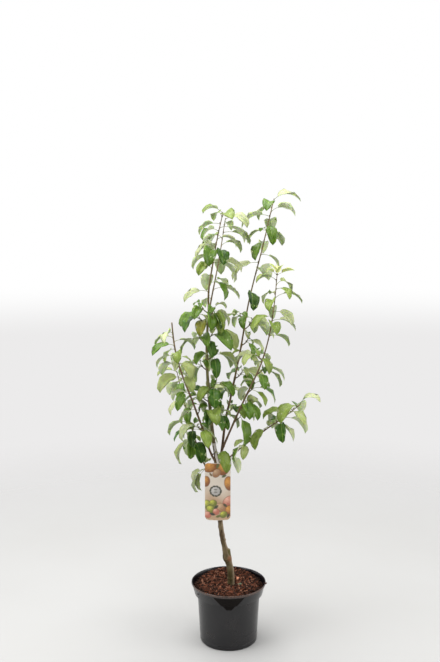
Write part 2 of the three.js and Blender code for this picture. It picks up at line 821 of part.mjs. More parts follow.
add('pot', potSolid(), FINISHES.pot);
add('soil', soilSolid(), FINISHES.soil);
add('trunk', trunkSolid(wood.trunk), FINISHES.bark);
for (const [name, bough] of Object.entries(BOUGHS)) {
  let clear = wood[name].subtract(swollen.trunk);
  if (bough.parent !== 'trunk') clear = clear.subtract(swollen[bough.parent]);
  add(`bough_${name}`, largest(clear), FINISHES.bough);
}
add('label', labelSolid(limbs, swollen.trunk), FINISHES.label);

const FIRST_SIDE_SEED = 101;
SIDES.forEach((spray, i) => {
  spray.name = `spray_${spray.limb}_${spray.height}`;
  spray.seed = FIRST_SIDE_SEED + i;
});
for (const spray of ENDS) {
  spray.name = `spray_${spray.limb}_end`;
  spray.from = splits[spray.limb];
}

for (const spray of growSprays(limbs)) {
  const stem = spray.stem === undefined
    ? limbSolid(limbs[spray.limb], spray.from, 1, ...END_FACETS)
    : stemSolid(spray, limbs);
  let clear = wasm.Manifold.union([stem, ...spray.grown.map(leafSolid)]);
  for (const name of Object.keys(limbs)) {
    const ownTop = name === spray.limb && name in TOPS;
    const laterTop = name === 'top_right' && spray.limb === 'top_left';
    if (!ownTop && !laterTop) clear = clear.subtract(swollen[name]);
  }
  add(spray.name, largest(clear), FINISHES.leaf);
}

export default tree;
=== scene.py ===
"""A young pear tree in a round nursery pot, dressed around its solid model.

The origin is the centre of the pot's flat underside, +Z is up, and the tree is seen along +Y.
Sizes are in millimetres and become metres where a mesh is made. Lights, the camera and the
patterns of materials are in metres.
"""
import json
import math

import bmesh
import bpy
import numpy as np
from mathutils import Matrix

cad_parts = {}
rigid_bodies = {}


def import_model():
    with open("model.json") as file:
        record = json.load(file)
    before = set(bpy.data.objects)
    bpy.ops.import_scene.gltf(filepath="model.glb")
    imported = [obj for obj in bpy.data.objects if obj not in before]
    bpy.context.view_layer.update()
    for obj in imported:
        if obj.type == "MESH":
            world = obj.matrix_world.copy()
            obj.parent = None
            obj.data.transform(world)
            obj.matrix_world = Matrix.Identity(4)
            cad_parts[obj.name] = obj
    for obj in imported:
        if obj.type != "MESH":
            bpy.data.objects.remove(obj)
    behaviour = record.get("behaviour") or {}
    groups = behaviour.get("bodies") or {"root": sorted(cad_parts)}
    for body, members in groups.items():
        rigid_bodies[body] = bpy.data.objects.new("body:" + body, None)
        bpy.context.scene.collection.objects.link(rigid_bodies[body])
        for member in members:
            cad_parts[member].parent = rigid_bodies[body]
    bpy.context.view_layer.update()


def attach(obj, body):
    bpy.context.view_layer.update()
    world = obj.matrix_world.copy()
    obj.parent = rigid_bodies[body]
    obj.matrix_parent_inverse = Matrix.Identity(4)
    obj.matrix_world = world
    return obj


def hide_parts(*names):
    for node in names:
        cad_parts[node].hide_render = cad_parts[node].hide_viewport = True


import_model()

# Studio
# A pale floor that melts into a white backdrop, under a broad overhead soft box, with a softer
# one on each side. The camera stands three metres back, at eye height, and looks slightly down.

CAMERA_PLACE = (-0.0325, -2.970, 1.512)
CAMERA_DIP = 6.5
CAMERA_LENS = 44.6
FLOOR_RADIUS = 9000
FLOOR_RINGS, FLOOR_SIDES = 14, 96
FLOOR_TONES = (164, 163, 161), (171, 171, 170)
FLOOR_CLOUDS = 1.3
FLOOR_FADE = 0.9, 3.4
BACKDROP_TONES = (236, 235, 235), (255, 255, 255)
STUDIO_TONES = (92, 92, 96), (250, 250, 250)
# Slopes of a view between which the backdrop whitens, and the studio brightens up and forwards
BACKDROP_RISE = -0.12, -0.055
STUDIO_ABOVE, STUDIO_FRONT = (0.1, 0.9), (-0.95, -0.1)
SOFT_LIGHTS = [
    # name, place, point aimed at, size, power
    ("light_above", (-0.6, 0.2, 5.0), (0, 0, 0.6), 4.2, 296),
    ("light_left", (-2.6, -1.5, 2.3), (0, 0, 0.8), 1.6, 42),
    ("light_right", (2.7, -0.9, 2.0), (0, 0, 0.8), 1.4, 40),
]


def tone(red, green, blue):
    """Linear colour of a screen colour: each channel over 255, raised to about 2.4."""
    share = np.array([red, green, blue], float) / 255
    linear = np.where(share <= 0.04045, share / 12.92, ((share + 0.055) / 1.055) ** 2.4)
    return (*linear.tolist(), 1.0)


def grid_faces(rows, columns):
    """Four-sided faces between neighbours of a grid of points, whose rows close round."""
    row, column = np.meshgrid(np.arange(rows - 1), np.arange(columns), indexing="ij")
    after = (column + 1) % columns
    corners = [row * columns + column, row * columns + after]
    corners += [(row + 1) * columns + after, (row + 1) * columns + column]
    return np.stack(corners, -1).reshape(-1, 4)


def build_mesh(name, points, faces, materials, indices=None):
    """A smooth mesh object at the origin from points in millimetres and four-sided faces.

    Points that fall together, as at a pole, are merged, so that every surface is closed.
    """
    mesh = bpy.data.meshes.new(name)
    points = np.asarray(points, float).reshape(-1, 3) / 1000
    mesh.vertices.add(len(points))
    mesh.vertices.foreach_set("co", points.astype(np.float32).ravel())
    mesh.loops.add(faces.size)
    mesh.loops.foreach_set("vertex_index", faces.astype(np.int32).ravel())
    mesh.polygons.add(len(faces))
    mesh.polygons.foreach_set("loop_start", np.arange(0, faces.size, 4, dtype=np.int32))
    for material in materials:
        mesh.materials.append(material)
    if indices is not None:
        mesh.polygons.foreach_set("material_index", np.asarray(indices, np.int32))
    mesh.update(calc_edges=True)
    merged = bmesh.new()
    merged.from_mesh(mesh)
    bmesh.ops.remove_doubles(merged, verts=merged.verts, dist=2e-6)
    merged.to_mesh(mesh)
    merged.free()
    mesh.polygons.foreach_set("use_smooth", np.ones(len(mesh.polygons), bool))
    piece = bpy.data.objects.new(name, mesh)
    bpy.context.scene.collection.objects.link(piece)
    return piece


def new_material(name, colour, roughness):
    """A material, its node tree and its principled shader with two plain values set."""
    material = bpy.data.materials.new(name)
    material.use_nodes = True
    shader = material.node_tree.nodes["Principled BSDF"]
    shader.inputs["Base Color"].default_value = colour
    shader.inputs["Roughness"].default_value = roughness
    return material, material.node_tree, shader


def add_node(tree, kind, settings=None, **inputs):
    """A node with its settings, and its inputs by name (or i0, i1...) as values or sockets."""
    node = tree.nodes.new(kind)
    for key, value in (settings or {}).items():
        setattr(node, key, value)
    for key, value in inputs.items():
        socket = node.inputs[int(key[1:]) if key[1:].isdigit() else key.replace("_", " ")]
        if isinstance(value, bpy.types.NodeSocket):
            tree.links.new(value, socket)
        else:
            socket.default_value = value
    return node


def calculate(tree, operation, *values):
    """Output of a math node on one to three values or sockets."""
    inputs = {f"i{place}": value for place, value in enumerate(values)}
    return add_node(tree, "ShaderNodeMath", {"operation": operation}, **inputs).outputs[0]


def multiply(tree, first, second):
    """Product of two values or sockets."""
    return calculate(tree, "MULTIPLY", first, second)


def mix_colours(tree, factor, first, second, mode="MIX"):
    """Colour between two colours or sockets, by a factor from 0 to 1."""
    settings = {"data_type": "RGBA", "blend_type": mode}
    return add_node(tree, "ShaderNodeMix", settings, i0=factor, i6=first, i7=second).outputs[2]


def mix_tones(tree, factor, first, second):
    """Colour between two screen colours, by a factor from 0 to 1."""
    return mix_colours(tree, factor, tone(*first), tone(*second))


def object_place(tree):
    """Place of a point in its object, which is its place in the part, in metres."""
    return add_node(tree, "ShaderNodeTexCoord").outputs["Object"]


def noise(tree, scale, detail=4.0, stretch=(1, 1, 1)):
    """Soft noise over the object, drawn out along an axis where its stretch is under 1."""
    place = object_place(tree)
    if stretch != (1, 1, 1):
        place = add_node(tree, "ShaderNodeMapping", Vector=place, Scale=stretch).outputs[0]
    return add_node(tree, "ShaderNodeTexNoise", Vector=place, Scale=scale,
                    Detail=detail).outputs["Fac"]


def feed(node, name, value):
    """Joins a socket that puts out a value to a node's input of that name."""
    node.id_data.links.new(value, node.inputs[name])


def add_bump(tree, shader, height, strength, depth):
    """Raises the shader's surface by a height socket, to a depth in metres."""
    bump = add_node(tree, "ShaderNodeBump", Strength=strength, Distance=depth, Height=height)
    feed(shader, "Normal", bump.outputs["Normal"])


def map_range(tree, value, low, high, start=0.0, end=1.0, smooth=False):
    """Output of a value carried from one range to another, and kept inside it."""
    settings = {"interpolation_type": "SMOOTHSTEP"} if smooth else None
    return add_node(tree, "ShaderNodeMapRange", settings, Value=value, From_Min=low,
                    From_Max=high, To_Min=start, To_Max=end).outputs[0]


def disc(radius, rows, sides):
    """Rings that shrink from a radius to the centre by the square of their share, at height 0."""
    reach = radius * np.linspace(1, 0, rows)[:, None] ** 2
    angle = np.linspace(0, 2 * np.pi, sides, endpoint=False)[None, :]
    points = np.stack([reach * np.cos(angle), reach * np.sin(angle), 0 * reach * angle], -1)
    return points, grid_faces(rows, sides)


floor_material, floor_tree, floor_shader = new_material("floor", tone(*FLOOR_TONES[1]), 0.85)
feed(floor_shader, "Base Color",
     mix_tones(floor_tree, noise(floor_tree, FLOOR_CLOUDS), *FLOOR_TONES))
floor_away = add_node(floor_tree, "ShaderNodeVectorMath", {"operation": "LENGTH"},
                      i0=object_place(floor_tree)).outputs["Value"]
feed(floor_shader, "Alpha", map_range(floor_tree, floor_away, *FLOOR_FADE, 1.0, 0.0, smooth=True))
floor = build_mesh("floor", *disc(FLOOR_RADIUS, FLOOR_RINGS, FLOOR_SIDES), [floor_material])

camera = bpy.data.objects.new("camera", bpy.data.cameras.new("camera"))
camera.data.lens = CAMERA_LENS
camera.location = CAMERA_PLACE
camera.rotation_euler = (math.radians(90 - CAMERA_DIP), 0, 0)
bpy.context.scene.collection.objects.link(camera)
bpy.context.scene.camera = camera
bpy.context.scene.view_settings.view_transform = "Standard"

world = bpy.data.worlds.new("studio")
world.use_nodes = True
sky = world.node_tree
sky_way = add_node(sky, "ShaderNodeTexCoord").outputs["Generated"]
sky_axes = add_node(sky, "ShaderNodeSeparateXYZ", Vector=sky_way).outputs
backdrop = mix_tones(sky, map_range(sky, sky_axes["Z"], *BACKDROP_RISE, smooth=True),
                     *BACKDROP_TONES)
sky_share = calculate(sky, "MAXIMUM", map_range(sky, sky_axes["Y"], *STUDIO_FRONT),
                      map_range(sky, sky_axes["Z"], *STUDIO_ABOVE))
seen = add_node(sky, "ShaderNodeLightPath").outputs["Is Camera Ray"]
feed(sky.nodes["Background"], "Color",
     mix_colours(sky, seen, mix_tones(sky, sky_share, *STUDIO_TONES), backdrop))
bpy.context.scene.world = world


def soft_light(name, place, aim, size, power):
    """A square soft light at a place, turned to face the point it aims at."""
    data = bpy.data.lights.new(name, "AREA")
    data.size = size
    data.energy = power
    light = bpy.data.objects.new(name, data)
    x, y, z = np.subtract(aim, place)
    light.location = place
    light.rotation_euler = (math.atan2(math.hypot(x, y), -z), 0, math.atan2(y, x) - math.pi / 2)
    bpy.context.scene.collection.objects.link(light)


for soft_box in SOFT_LIGHTS:
    soft_light(*soft_box)

# Pot
# A round nursery pot of thin black plastic, moulded in one piece: tapered wall, stiff rolled
# lip, six drain holes in its floor. It stands on the flat of its underside.

POT_HEIGHT = 225
RIM_RADIUS = 140
LIP_HEIGHT = 43
LIP_FOOT_RADIUS = 128
BODY_TOP_RADIUS = 117
BASE_RADIUS = 107
POT_WALL = 2.4
POT_FLOOR = 3
POT_EDGE = 1.6
POT_SIDES = 180
FOOT_BEVEL = 3
FOOT_LINE = 15
FOOT_GROOVE = 0.8
BEAD_WIDTH = 3
BEAD_HEIGHT = 6
NECK_HEIGHT = 4
LIP_FOOT = POT_HEIGHT - LIP_HEIGHT
BODY_TOP = LIP_FOOT - NECK_HEIGHT
LEDGE = LIP_FOOT + POT_WALL
BEAD_FOOT = POT_HEIGHT - BEAD_HEIGHT
DRAIN_HOLES = 6
DRAIN_RADIUS = 7
DRAIN_CIRCLE = 82
DRILL_REACH = -9, 12
DRILL_SIDES = 28


def softened(corners, cut, steps=4):
    """A profile with each inner corner replaced by a curve between points a cut away from it.

    The curve is the quadratic one that starts and ends along the two sides of the corner.
    """
    corners = np.array(corners, float)
    middle, before, after = corners[1:-1], corners[:-2] - corners[1:-1], corners[2:] - corners[1:-1]
    reach = [np.linalg.norm(side, axis=1, keepdims=True) for side in (before, after)]
    start = middle + before * np.minimum(cut / reach[0], 0.45)
    end = middle + after * np.minimum(cut / reach[1], 0.45)
    share = np.linspace(0, 1, steps)[None, :, None]
    curve = start[:, None] * (1 - share) ** 2 + middle[:, None] * 2 * share * (1 - share)
    curve = curve + end[:, None] * share ** 2
    return np.vstack([corners[:1], curve.reshape(-1, 2), corners[-1:]])


def turned(profile, sides):
    """A profile of radii and heights carried round the Z axis."""
    angle = np.linspace(0, 2 * np.pi, sides, endpoint=False)[None, :]
    radius, height = profile[:, 0:1], profile[:, 1:2]
    points = np.stack([radius * np.cos(angle), radius * np.sin(angle), height + 0 * angle], -1)
    return points, grid_faces(len(profile), sides)


def body_radius(height):
    """Outer radius of the pot's tapered wall at a height below the lip."""
    return BASE_RADIUS + (BODY_TOP_RADIUS - BASE_RADIUS) * height / BODY_TOP


groove_radius = body_radius(FOOT_LINE) - FOOT_GROOVE
pot_corners = [
    # outside, from the middle of the foot up to the rim
    (0, 0), (BASE_RADIUS - FOOT_BEVEL, 0), (BASE_RADIUS, FOOT_BEVEL),
    (body_radius(FOOT_LINE), FOOT_LINE), (groove_radius, FOOT_LINE + 1.5 * FOOT_GROOVE),
    (groove_radius, FOOT_LINE + 3 * FOOT_GROOVE), (body_radius(FOOT_LINE + 4), FOOT_LINE + 4),
    (BODY_TOP_RADIUS, BODY_TOP), (BODY_TOP_RADIUS + 2, LIP_FOOT), (LIP_FOOT_RADIUS, LIP_FOOT),
    (RIM_RADIUS - BEAD_WIDTH, BEAD_FOOT - 1), (RIM_RADIUS, BEAD_FOOT), (RIM_RADIUS, POT_HEIGHT),
    # inside, back down to the middle of the floor
    (RIM_RADIUS - POT_WALL, POT_HEIGHT), (RIM_RADIUS - POT_WALL - BEAD_WIDTH, BEAD_FOOT - 2),
    (LIP_FOOT_RADIUS - POT_WALL, LEDGE), (BODY_TOP_RADIUS - POT_WALL, LEDGE),
    (BASE_RADIUS - POT_WALL, POT_FLOOR), (0, POT_FLOOR),
]

POT_COLOUR = tone(10, 9, 13)
POT_DUST = tone(50, 45, 45)
# Colour of the painted dark reflection under the front of the rim, and further down its gloss
POT_REFLECTION_DARK = tone(20, 16, 13)
# Brown of the rim's front: crumbs of compost and a painted highlight
RIM_CRUMBS_AND_HIGHLIGHT = tone(84, 64, 55)
POT_GLOSS, REFLECTION_GLOSS = 0.55, 0.08
# Painted reflection's wedge: heights of its tip and top, half-width at its tip, slope and
# raggedness of its sides
WEDGE_FOOT, WEDGE_TOP = 0.162, 0.215
WEDGE_HALF, WEDGE_SLOPE = 0.009, 1.06
WEDGE_RAGGED = 0.008
# Noises of the skin by their scale, detail and stretch, and depths between which its front begins
POT_CLOUDS, POT_SPECKS, POT_FLOW = (14, 5), (240, 4), (22, 3, (1, 1, 0.2))
POT_FRONT = -0.03, -0.05
POT_ROUGHNESS = 0.15, 0.36
pot_material, pot_tree, pot_shader = new_material("moulded_plastic", POT_COLOUR, 0.22)
pot_x, pot_y, pot_z = add_node(
    pot_tree, "ShaderNodeSeparateXYZ", Vector=object_place(pot_tree)).outputs
pot_front = map_range(pot_tree, pot_y, *POT_FRONT)
pot_cloud = noise(pot_tree, *POT_CLOUDS)
pot_specks = noise(pot_tree, *POT_SPECKS)
pot_flow = noise(pot_tree, *POT_FLOW)
pot_dust = multiply(pot_tree, map_range(pot_tree, pot_cloud, 0.45, 0.85),
                    map_range(pot_tree, pot_specks, 0.3, 0.8))
# A painted dark reflection under the front of the rim, darker and less glossy, in the shape of a
# wedge that points down
wedge_aside = calculate(pot_tree, "SUBTRACT", calculate(pot_tree, "ABSOLUTE", pot_x), WEDGE_HALF)
wedge_line = calculate(pot_tree, "MULTIPLY_ADD", calculate(pot_tree, "MAXIMUM", wedge_aside, 0.0),
                       WEDGE_SLOPE, WEDGE_FOOT)
wedge_above = calculate(pot_tree, "SUBTRACT", pot_z, wedge_line)
wedge_above = calculate(pot_tree, "MULTIPLY_ADD", pot_flow, WEDGE_RAGGED, wedge_above)
pot_dark_reflection = multiply(pot_tree, map_range(pot_tree, wedge_above, 0.002, 0.006),
                     map_range(pot_tree, pot_z, WEDGE_TOP, WEDGE_TOP - 0.002))
pot_dark_reflection = multiply(pot_tree, pot_dark_reflection, pot_front)
# Crumbs of compost cling to the front of the rim, and their speckled brown band is also a painted
# highlight along it
rim_crumbs_and_highlight = multiply(pot_tree, map_range(pot_tree, pot_z, WEDGE_TOP, WEDGE_TOP + 0.002),
                    map_range(pot_tree, pot_specks, 0.2, 0.6))
rim_crumbs_and_highlight = multiply(pot_tree, rim_crumbs_and_highlight, pot_front)
pot_skin = mix_colours(pot_tree, pot_dust, POT_COLOUR, POT_DUST)
pot_skin = mix_colours(pot_tree, rim_crumbs_and_highlight, pot_skin, RIM_CRUMBS_AND_HIGHLIGHT)
feed(pot_shader, "Base Color", mix_colours(pot_tree, pot_dark_reflection, pot_skin, POT_REFLECTION_DARK))
feed(pot_shader, "Roughness", map_range(pot_tree, pot_cloud, 0.3, 0.8, *POT_ROUGHNESS))
feed(pot_shader, "Specular IOR Level",
     map_range(pot_tree, pot_dark_reflection, 0.0, 1.0, POT_GLOSS, REFLECTION_GLOSS))
add_bump(pot_tree, pot_shader, pot_flow, 0.3, 0.0016)

pot = build_mesh("pot_shell", *turned(softened(pot_corners, POT_EDGE), POT_SIDES), [pot_material])
drill_foot, drill_top = DRILL_REACH
drill_profile = np.array([(0, drill_foot), (DRAIN_RADIUS, drill_foot), (DRAIN_RADIUS, drill_top),
                          (0, drill_top)], float)
drills = []
for hole in range(DRAIN_HOLES):
    turn = 2 * math.pi * (hole + 0.5) / DRAIN_HOLES
    drill_points, drill_faces = turned(drill_profile, DRILL_SIDES)
    drill_points += [DRAIN_CIRCLE * math.cos(turn), DRAIN_CIRCLE * math.sin(turn), 0]
    drill = build_mesh(f"drill_{hole}", drill_points, drill_faces, [pot_material])
    cut = pot.modifiers.new(f"drain_{hole}", "BOOLEAN")
    cut.object = drill
    cut.solver = "EXACT"
    drills.append(drill)
cut_mesh = bpy.data.meshes.new_from_object(
    pot.evaluated_get(bpy.context.evaluated_depsgraph_get()))
pot.modifiers.clear()
pot.data = cut_mesh
for drill in drills:
    bpy.data.objects.remove(drill)
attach(pot, "root")
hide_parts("pot")

# Growing medium
# The pot is filled with dark compost, covered by reddish-brown bark chips that lie loose at
# all angles. A pale chip and a greyish one lie by the trunk, and one crumb hangs on the rim.

SOIL_TOP = 212
SOIL_RELIEF = 2.5
SOIL_GRAIN = 0.7
SOIL_SINK = 0.6
SOIL_FLAT = 34
SOIL_SQUEEZE = 0.2
SOIL_RINGS, SOIL_SIDES = 46, 120
TRUNK_FOOT = (9, 0)
GAP = 0.3
EDGE_DROP = 9
EDGE_FROM, EDGE_SPAN = 100, 28
EDGE_ASIDE, EDGE_ASIDE_SPAN = 50, 60
CHIPS = 3600
CHIP_REACH = 134
CHIP_HALF = (2.6, 11.5), (1.6, 4.8), (0.8, 2.3)
CHIP_SKEW = 1.7
CHIP_RISE = 0.2, 5.0
CHIP_SINK = 1.4
CHIP_TILT, CHIP_BANK = 0.34, 0.4
CHIP_HEAP = 6
HEAP_FROM, HEAP_SPAN = 30, 90
# Chips that start above this rise were put in place one by one, and aren't heaped or settled
LOOSE_RISE = 6
# Chips that would lie in the trunk are moved aside
TRUNK_REACH, CHIP_ASIDE = 19, 40
CHIP_GLOSS = 0.15
CHIP_TONES = {
    "chip_dark": (44, 25, 16), "chip_brown": (76, 42, 27), "chip_red": (114, 65, 44),
    "chip_light": (146, 100, 78), "chip_pale": (206, 138, 108), "chip_grey": (116, 122, 98),
}
CHIP_SHARES = 0.34, 0.64, 0.88
CHIP_DARK = 0.62
# Offset of the chips' drawn tone, painted shade by the wall where they settled, painted light
# towards the back
CHIP_SHADE, PAINTED_WALL_SHADE, PAINTED_BACK_LIGHT = -0.01, -0.07, 0.03


def soil_height(x, y):
    """Height of the soil: sine waves in x and cosine waves in y, fading out by the trunk."""
    away = np.hypot(x - TRUNK_FOOT[0], y - TRUNK_FOOT[1])
    rough = np.clip((away - SOIL_FLAT) / 20, 0, 1)
    return SOIL_TOP + rough * SOIL_RELIEF * np.sin(x * 0.11 + 1) * np.cos(y * 0.13)


def blend(limits, share):
    """Value at a share of the way between two limits."""
    return limits[0] + (limits[1] - limits[0]) * share


def edge_drop(x, y):
    """How far the chips have settled by the wall on both sides."""
    outer = np.clip((np.hypot(x, y) - EDGE_FROM) / EDGE_SPAN, 0, 1)
    return EDGE_DROP * outer * np.clip((np.abs(x) - EDGE_ASIDE) / EDGE_ASIDE_SPAN, 0, 1)


soil_foot = POT_FLOOR + GAP
soil_edge = SOIL_SQUEEZE - POT_WALL + np.interp(
    SOIL_TOP, [LEDGE, BEAD_FOOT - 2], [LIP_FOOT_RADIUS, RIM_RADIUS - BEAD_WIDTH])
soil_profile = [
    (0, soil_foot), (BASE_RADIUS - POT_WALL - GAP, soil_foot),
    (BODY_TOP_RADIUS - POT_WALL - GAP, LEDGE + GAP),
    (LIP_FOOT_RADIUS - POT_WALL - GAP, LEDGE + GAP), (soil_edge - 0.6, SOIL_TOP - 1.5),
]
soil_profile += [(soil_edge * share, SOIL_TOP) for share in np.linspace(0.985, 0, SOIL_RINGS)]
soil_points, soil_faces = turned(np.array(soil_profile), SOIL_SIDES)
# The bed is grainy, and it and the ring at its edge, the fifth from the foot, have settled
bed_x, bed_y = soil_points[5:, :, 0], soil_points[5:, :, 1]
soil_points[5:, :, 2] = soil_height(bed_x, bed_y) - SOIL_SINK
soil_points[5:, :, 2] += SOIL_GRAIN * np.sin(0.9 * bed_x) * np.sin(0.8 * bed_y + 2)
soil_points[4:, :, 2] -= edge_drop(soil_points[4:, :, 0], soil_points[4:, :, 1])


def grainy_material(name, dark, light, roughness, grain, relief=None, gloss=None):
    """A material whose noise, of a scale and detail, mixes two tones and raises its relief.

    The relief is a strength and a depth in metres.
    """
    material, tree, shader = new_material(name, tone(*light), roughness)
    height = noise(tree, *grain)
    feed(shader, "Base Color", mix_tones(tree, height, dark, light))
    if relief:
        add_bump(tree, shader, height, *relief)
    if gloss is not None:
        shader.inputs["Specular IOR Level"].default_value = gloss
    return material


earth = grainy_material("compost", (34, 16, 6), (80, 46, 26), 0.95, (260, 6), (0.8, 0.003))
soil = build_mesh("compost", soil_points, soil_faces, [earth])
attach(soil, "root")
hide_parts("soil")

chip_draw = np.random.default_rng(7)
chip_half = np.stack([blend(limits, chip_draw.uniform(0, 1, CHIPS) ** CHIP_SKEW)
                      for limits in CHIP_HALF], -1)
chip_turn = chip_draw.uniform(0, 2 * np.pi, CHIPS)
chip_place = (CHIP_REACH - chip_half[:, 0]) * np.sqrt(chip_draw.uniform(0, 1, CHIPS))
chip_x, chip_y = chip_place * np.cos(chip_turn), chip_place * np.sin(chip_turn)
chip_rise = chip_draw.uniform(*CHIP_RISE, CHIPS)
chip_yaw = chip_draw.uniform(0, 2 * np.pi, CHIPS)
chip_tilt = chip_draw.normal(0, CHIP_TILT, CHIPS)
chip_bank = chip_draw.normal(0, CHIP_BANK, CHIPS)
by_trunk = np.hypot(chip_x - TRUNK_FOOT[0], chip_y - TRUNK_FOOT[1]) < TRUNK_REACH
chip_x[by_trunk] += CHIP_ASIDE

# Chips with a place of their own: pale and greyish ones by the trunk, a crumb on the rim
chip_x[:3], chip_y[:3] = (34, 38, 139), (38, -14, -24)
chip_half[:3] = (9, 6, 2.5), (11, 5, 2), (4.5, 3.2, 1.8)
chip_yaw[:3] = 1.1, 0.25, 0.4
chip_rise[:3], chip_tilt[:3], chip_bank[:3] = (7, 5, 14.6), 0.2, 0.1


def chip_boxes(centres, halves, yaw, tilt, bank, draws):
    """Six-sided chips: a box's corners, each drawn in by a share, turned by three angles.

    The box is banked about its length, tilted about its width and turned about the vertical.
    """
    corners = np.array([(x, y, z) for z in (-1, 1) for x, y in
                        ((-1, -1), (1, -1), (1, 1), (-1, 1))], float)
    points = corners[None] * halves[:, None] * draws.uniform(0.5, 1.15, (len(centres), 8, 3))
    x, y, z = points[..., 0], points[..., 1], points[..., 2]
    cos_b, sin_b = np.cos(bank)[:, None], np.sin(bank)[:, None]
    y, z = y * cos_b - z * sin_b, y * sin_b + z * cos_b
    cos_t, sin_t = np.cos(tilt)[:, None], np.sin(tilt)[:, None]
    x, z = x * cos_t - z * sin_t, x * sin_t + z * cos_t
    cos_y, sin_y = np.cos(yaw)[:, None], np.sin(yaw)[:, None]
    x, y = x * cos_y - y * sin_y, x * sin_y + y * cos_y
    sides = [(0, 3, 2, 1), (4, 5, 6, 7), (0, 1, 5, 4), (1, 2, 6, 5), (2, 3, 7, 6), (3, 0, 4, 7)]
    faces = np.array(sides)[None] + 8 * np.arange(len(centres))[:, None, None]
    return np.stack([x, y, z], -1) + centres[:, None], faces.reshape(-1, 4)


chip_ground = np.minimum(np.hypot(chip_x, chip_y), CHIP_REACH) / np.hypot(chip_x, chip_y)
chip_z = soil_height(chip_x * chip_ground, chip_y * chip_ground) + chip_rise - CHIP_SINK
chip_loose = chip_rise < LOOSE_RISE
chip_heap = np.clip((np.abs(chip_y) - HEAP_FROM) / HEAP_SPAN, 0, 1) * chip_loose
chip_z = chip_z + CHIP_HEAP * chip_heap - edge_drop(chip_x, chip_y) * chip_loose
chip_points, chip_faces = chip_boxes(
    np.stack([chip_x, chip_y, chip_z], -1), chip_half, chip_yaw, chip_tilt, chip_bank, chip_draw)
chip_materials = [
    grainy_material(name, CHIP_DARK * np.array(light), light, 0.9, (420, 4), (0.5, 0.001),
                    CHIP_GLOSS)
    for name, light in CHIP_TONES.items()]
# The chips are painted darker by the wall where they have settled, a painted shadow of the wall,
# and a little lighter towards the back, painted light where the rim shades them
chip_shade = chip_draw.uniform(0, 1, CHIPS) + PAINTED_WALL_SHADE * edge_drop(chip_x, chip_y)
chip_shade = chip_shade + CHIP_SHADE + PAINTED_BACK_LIGHT * chip_y / CHIP_REACH
chip_kind = np.searchsorted(CHIP_SHARES, chip_shade)
chip_kind[:3] = 4, 5, 1
chips = build_mesh("bark_chips", chip_points, chip_faces, chip_materials, np.repeat(chip_kind, 6))
chips.data.polygons.foreach_set("use_smooth", np.zeros(len(chips.data.polygons), bool))
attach(chips, "root")
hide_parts("soil")

# Trunk
# A grafted stem. The rootstock ends in a sawn stub, and the slender upper stem grows from
# beside it. It leans left, straightens and runs on through the crown as the leader.

TRUNK_LINE = [
    (9, 0, 212), (7, 0, 267), (-9, 0, 333), (-26, 1, 410), (-36, 3, 520), (-43, 4, 676),
    (-57, 2, 768), (-74, 0, 944), (-81, 0, 1104), (-74, 0, 1250),
]
TRUNK_TAPER = [
    (212, 13.6), (232, 12.7), (290, 12.4), (316, 14.6), (338, 13), (362, 9.6), (540, 8.8),
    (660, 8.6), (684, 9.8), (730, 6.9), (950, 5.8), (1100, 4.9), (1250, 4.1),
]
SNAG_FOOT = (3, -1, 296)
SNAG_TOP = (-1, -4, 351)
SNAG_RADIUS = 7.6
SNAG_CUT = 22
SNAG_ROWS, SNAG_SIDES = 9, 28
LEADER_FOOT = 690
ROW_STEP = 2.2
LIMB_SIDES = 24
# Waves of the bark round a limb, and their pace along it in radians per millimetre
BARK_LOBES = 2, 3, 5, 7, 9
BARK_PACES = 0.05, 0.17, 0.55
BARK_SLANT = 0.02
BARK_RISE = 0.3, 1
# Share of a knot's swelling on the far side of its limb, and a rounded tip's length in radii
KNOT_BEHIND = 0.35
TIP_ROUND = 1.2
BARK_GLOSS = 0.25
# Noises of the bark by their scale, detail and stretch
BARK_STREAKS, BARK_PATCHES = (260, 5, (1, 1, 0.14)), (34, 4, (1, 1, 0.5))
PORE_SCALE = 170.0
STREAK_RELIEF, PORE_RELIEF = 0.6, 0.3
STREAK_TONE, STREAK_SHARE = (24, 17, 10), 0.62
PATCH_TONE, PATCH_SHARE = (150, 134, 100), 0.6
PORE_TONE, PORE_SHARE, PORE_REACH = (166, 148, 112), 0.35, 0.16
SCAR_PLACE = (0.005, -0.014, 0.316)
SCAR_REACH = 0.012
SCAR_TONE, SCAR_SHARE = (128, 78, 50), 0.7
# Painted light on the side of the trunk that faces right: its tone and share
LIT_SIDE_TONE, LIT_SIDE_SHARE = (168, 148, 122), 0.6


def capped(rings, centre):
    """Rings with one more at each end that has shrunk to the line's first or last point."""
    ends = np.broadcast_to(centre[[0, -1]][:, None], (2, *rings.shape[1:]))
    return np.concatenate([ends[:1], rings, ends[1:]])


def curve_points(line, share):
    """Points of the smooth curve through a line's points, at shares of its number of steps.

    Each step is a cubic whose slope at a point is half the way between the point's two
    neighbours, and past its ends the line goes straight on for one step.
    """
    knots = np.array(line, float)
    knots = np.vstack([2 * knots[0] - knots[1], knots, 2 * knots[-1] - knots[-2]])
    place = np.asarray(share, float) * (len(line) - 1)
    step = np.clip(np.floor(place), 0, len(line) - 2).astype(int)
    w = (place - step)[..., None]
    before, start, end, after = (knots[step + k] for k in range(4))
    slope, last_slope = 0.5 * (end - before), 0.5 * (after - start)
    square = -3 * start + 3 * end - 2 * slope - last_slope
    cube = 2 * start - 2 * end + slope + last_slope
    return start + slope * w + square * w ** 2 + cube * w ** 3


def at_height(limb, height):
    """Share along a limb where it reaches a height, found by halving."""
    low, high = 0.0, 1.0
    for _ in range(40):
        middle = (low + high) / 2
        if curve_points(limb["line"], middle)[2] < height:
            low = middle
        else:
            high = middle
    return (low + high) / 2


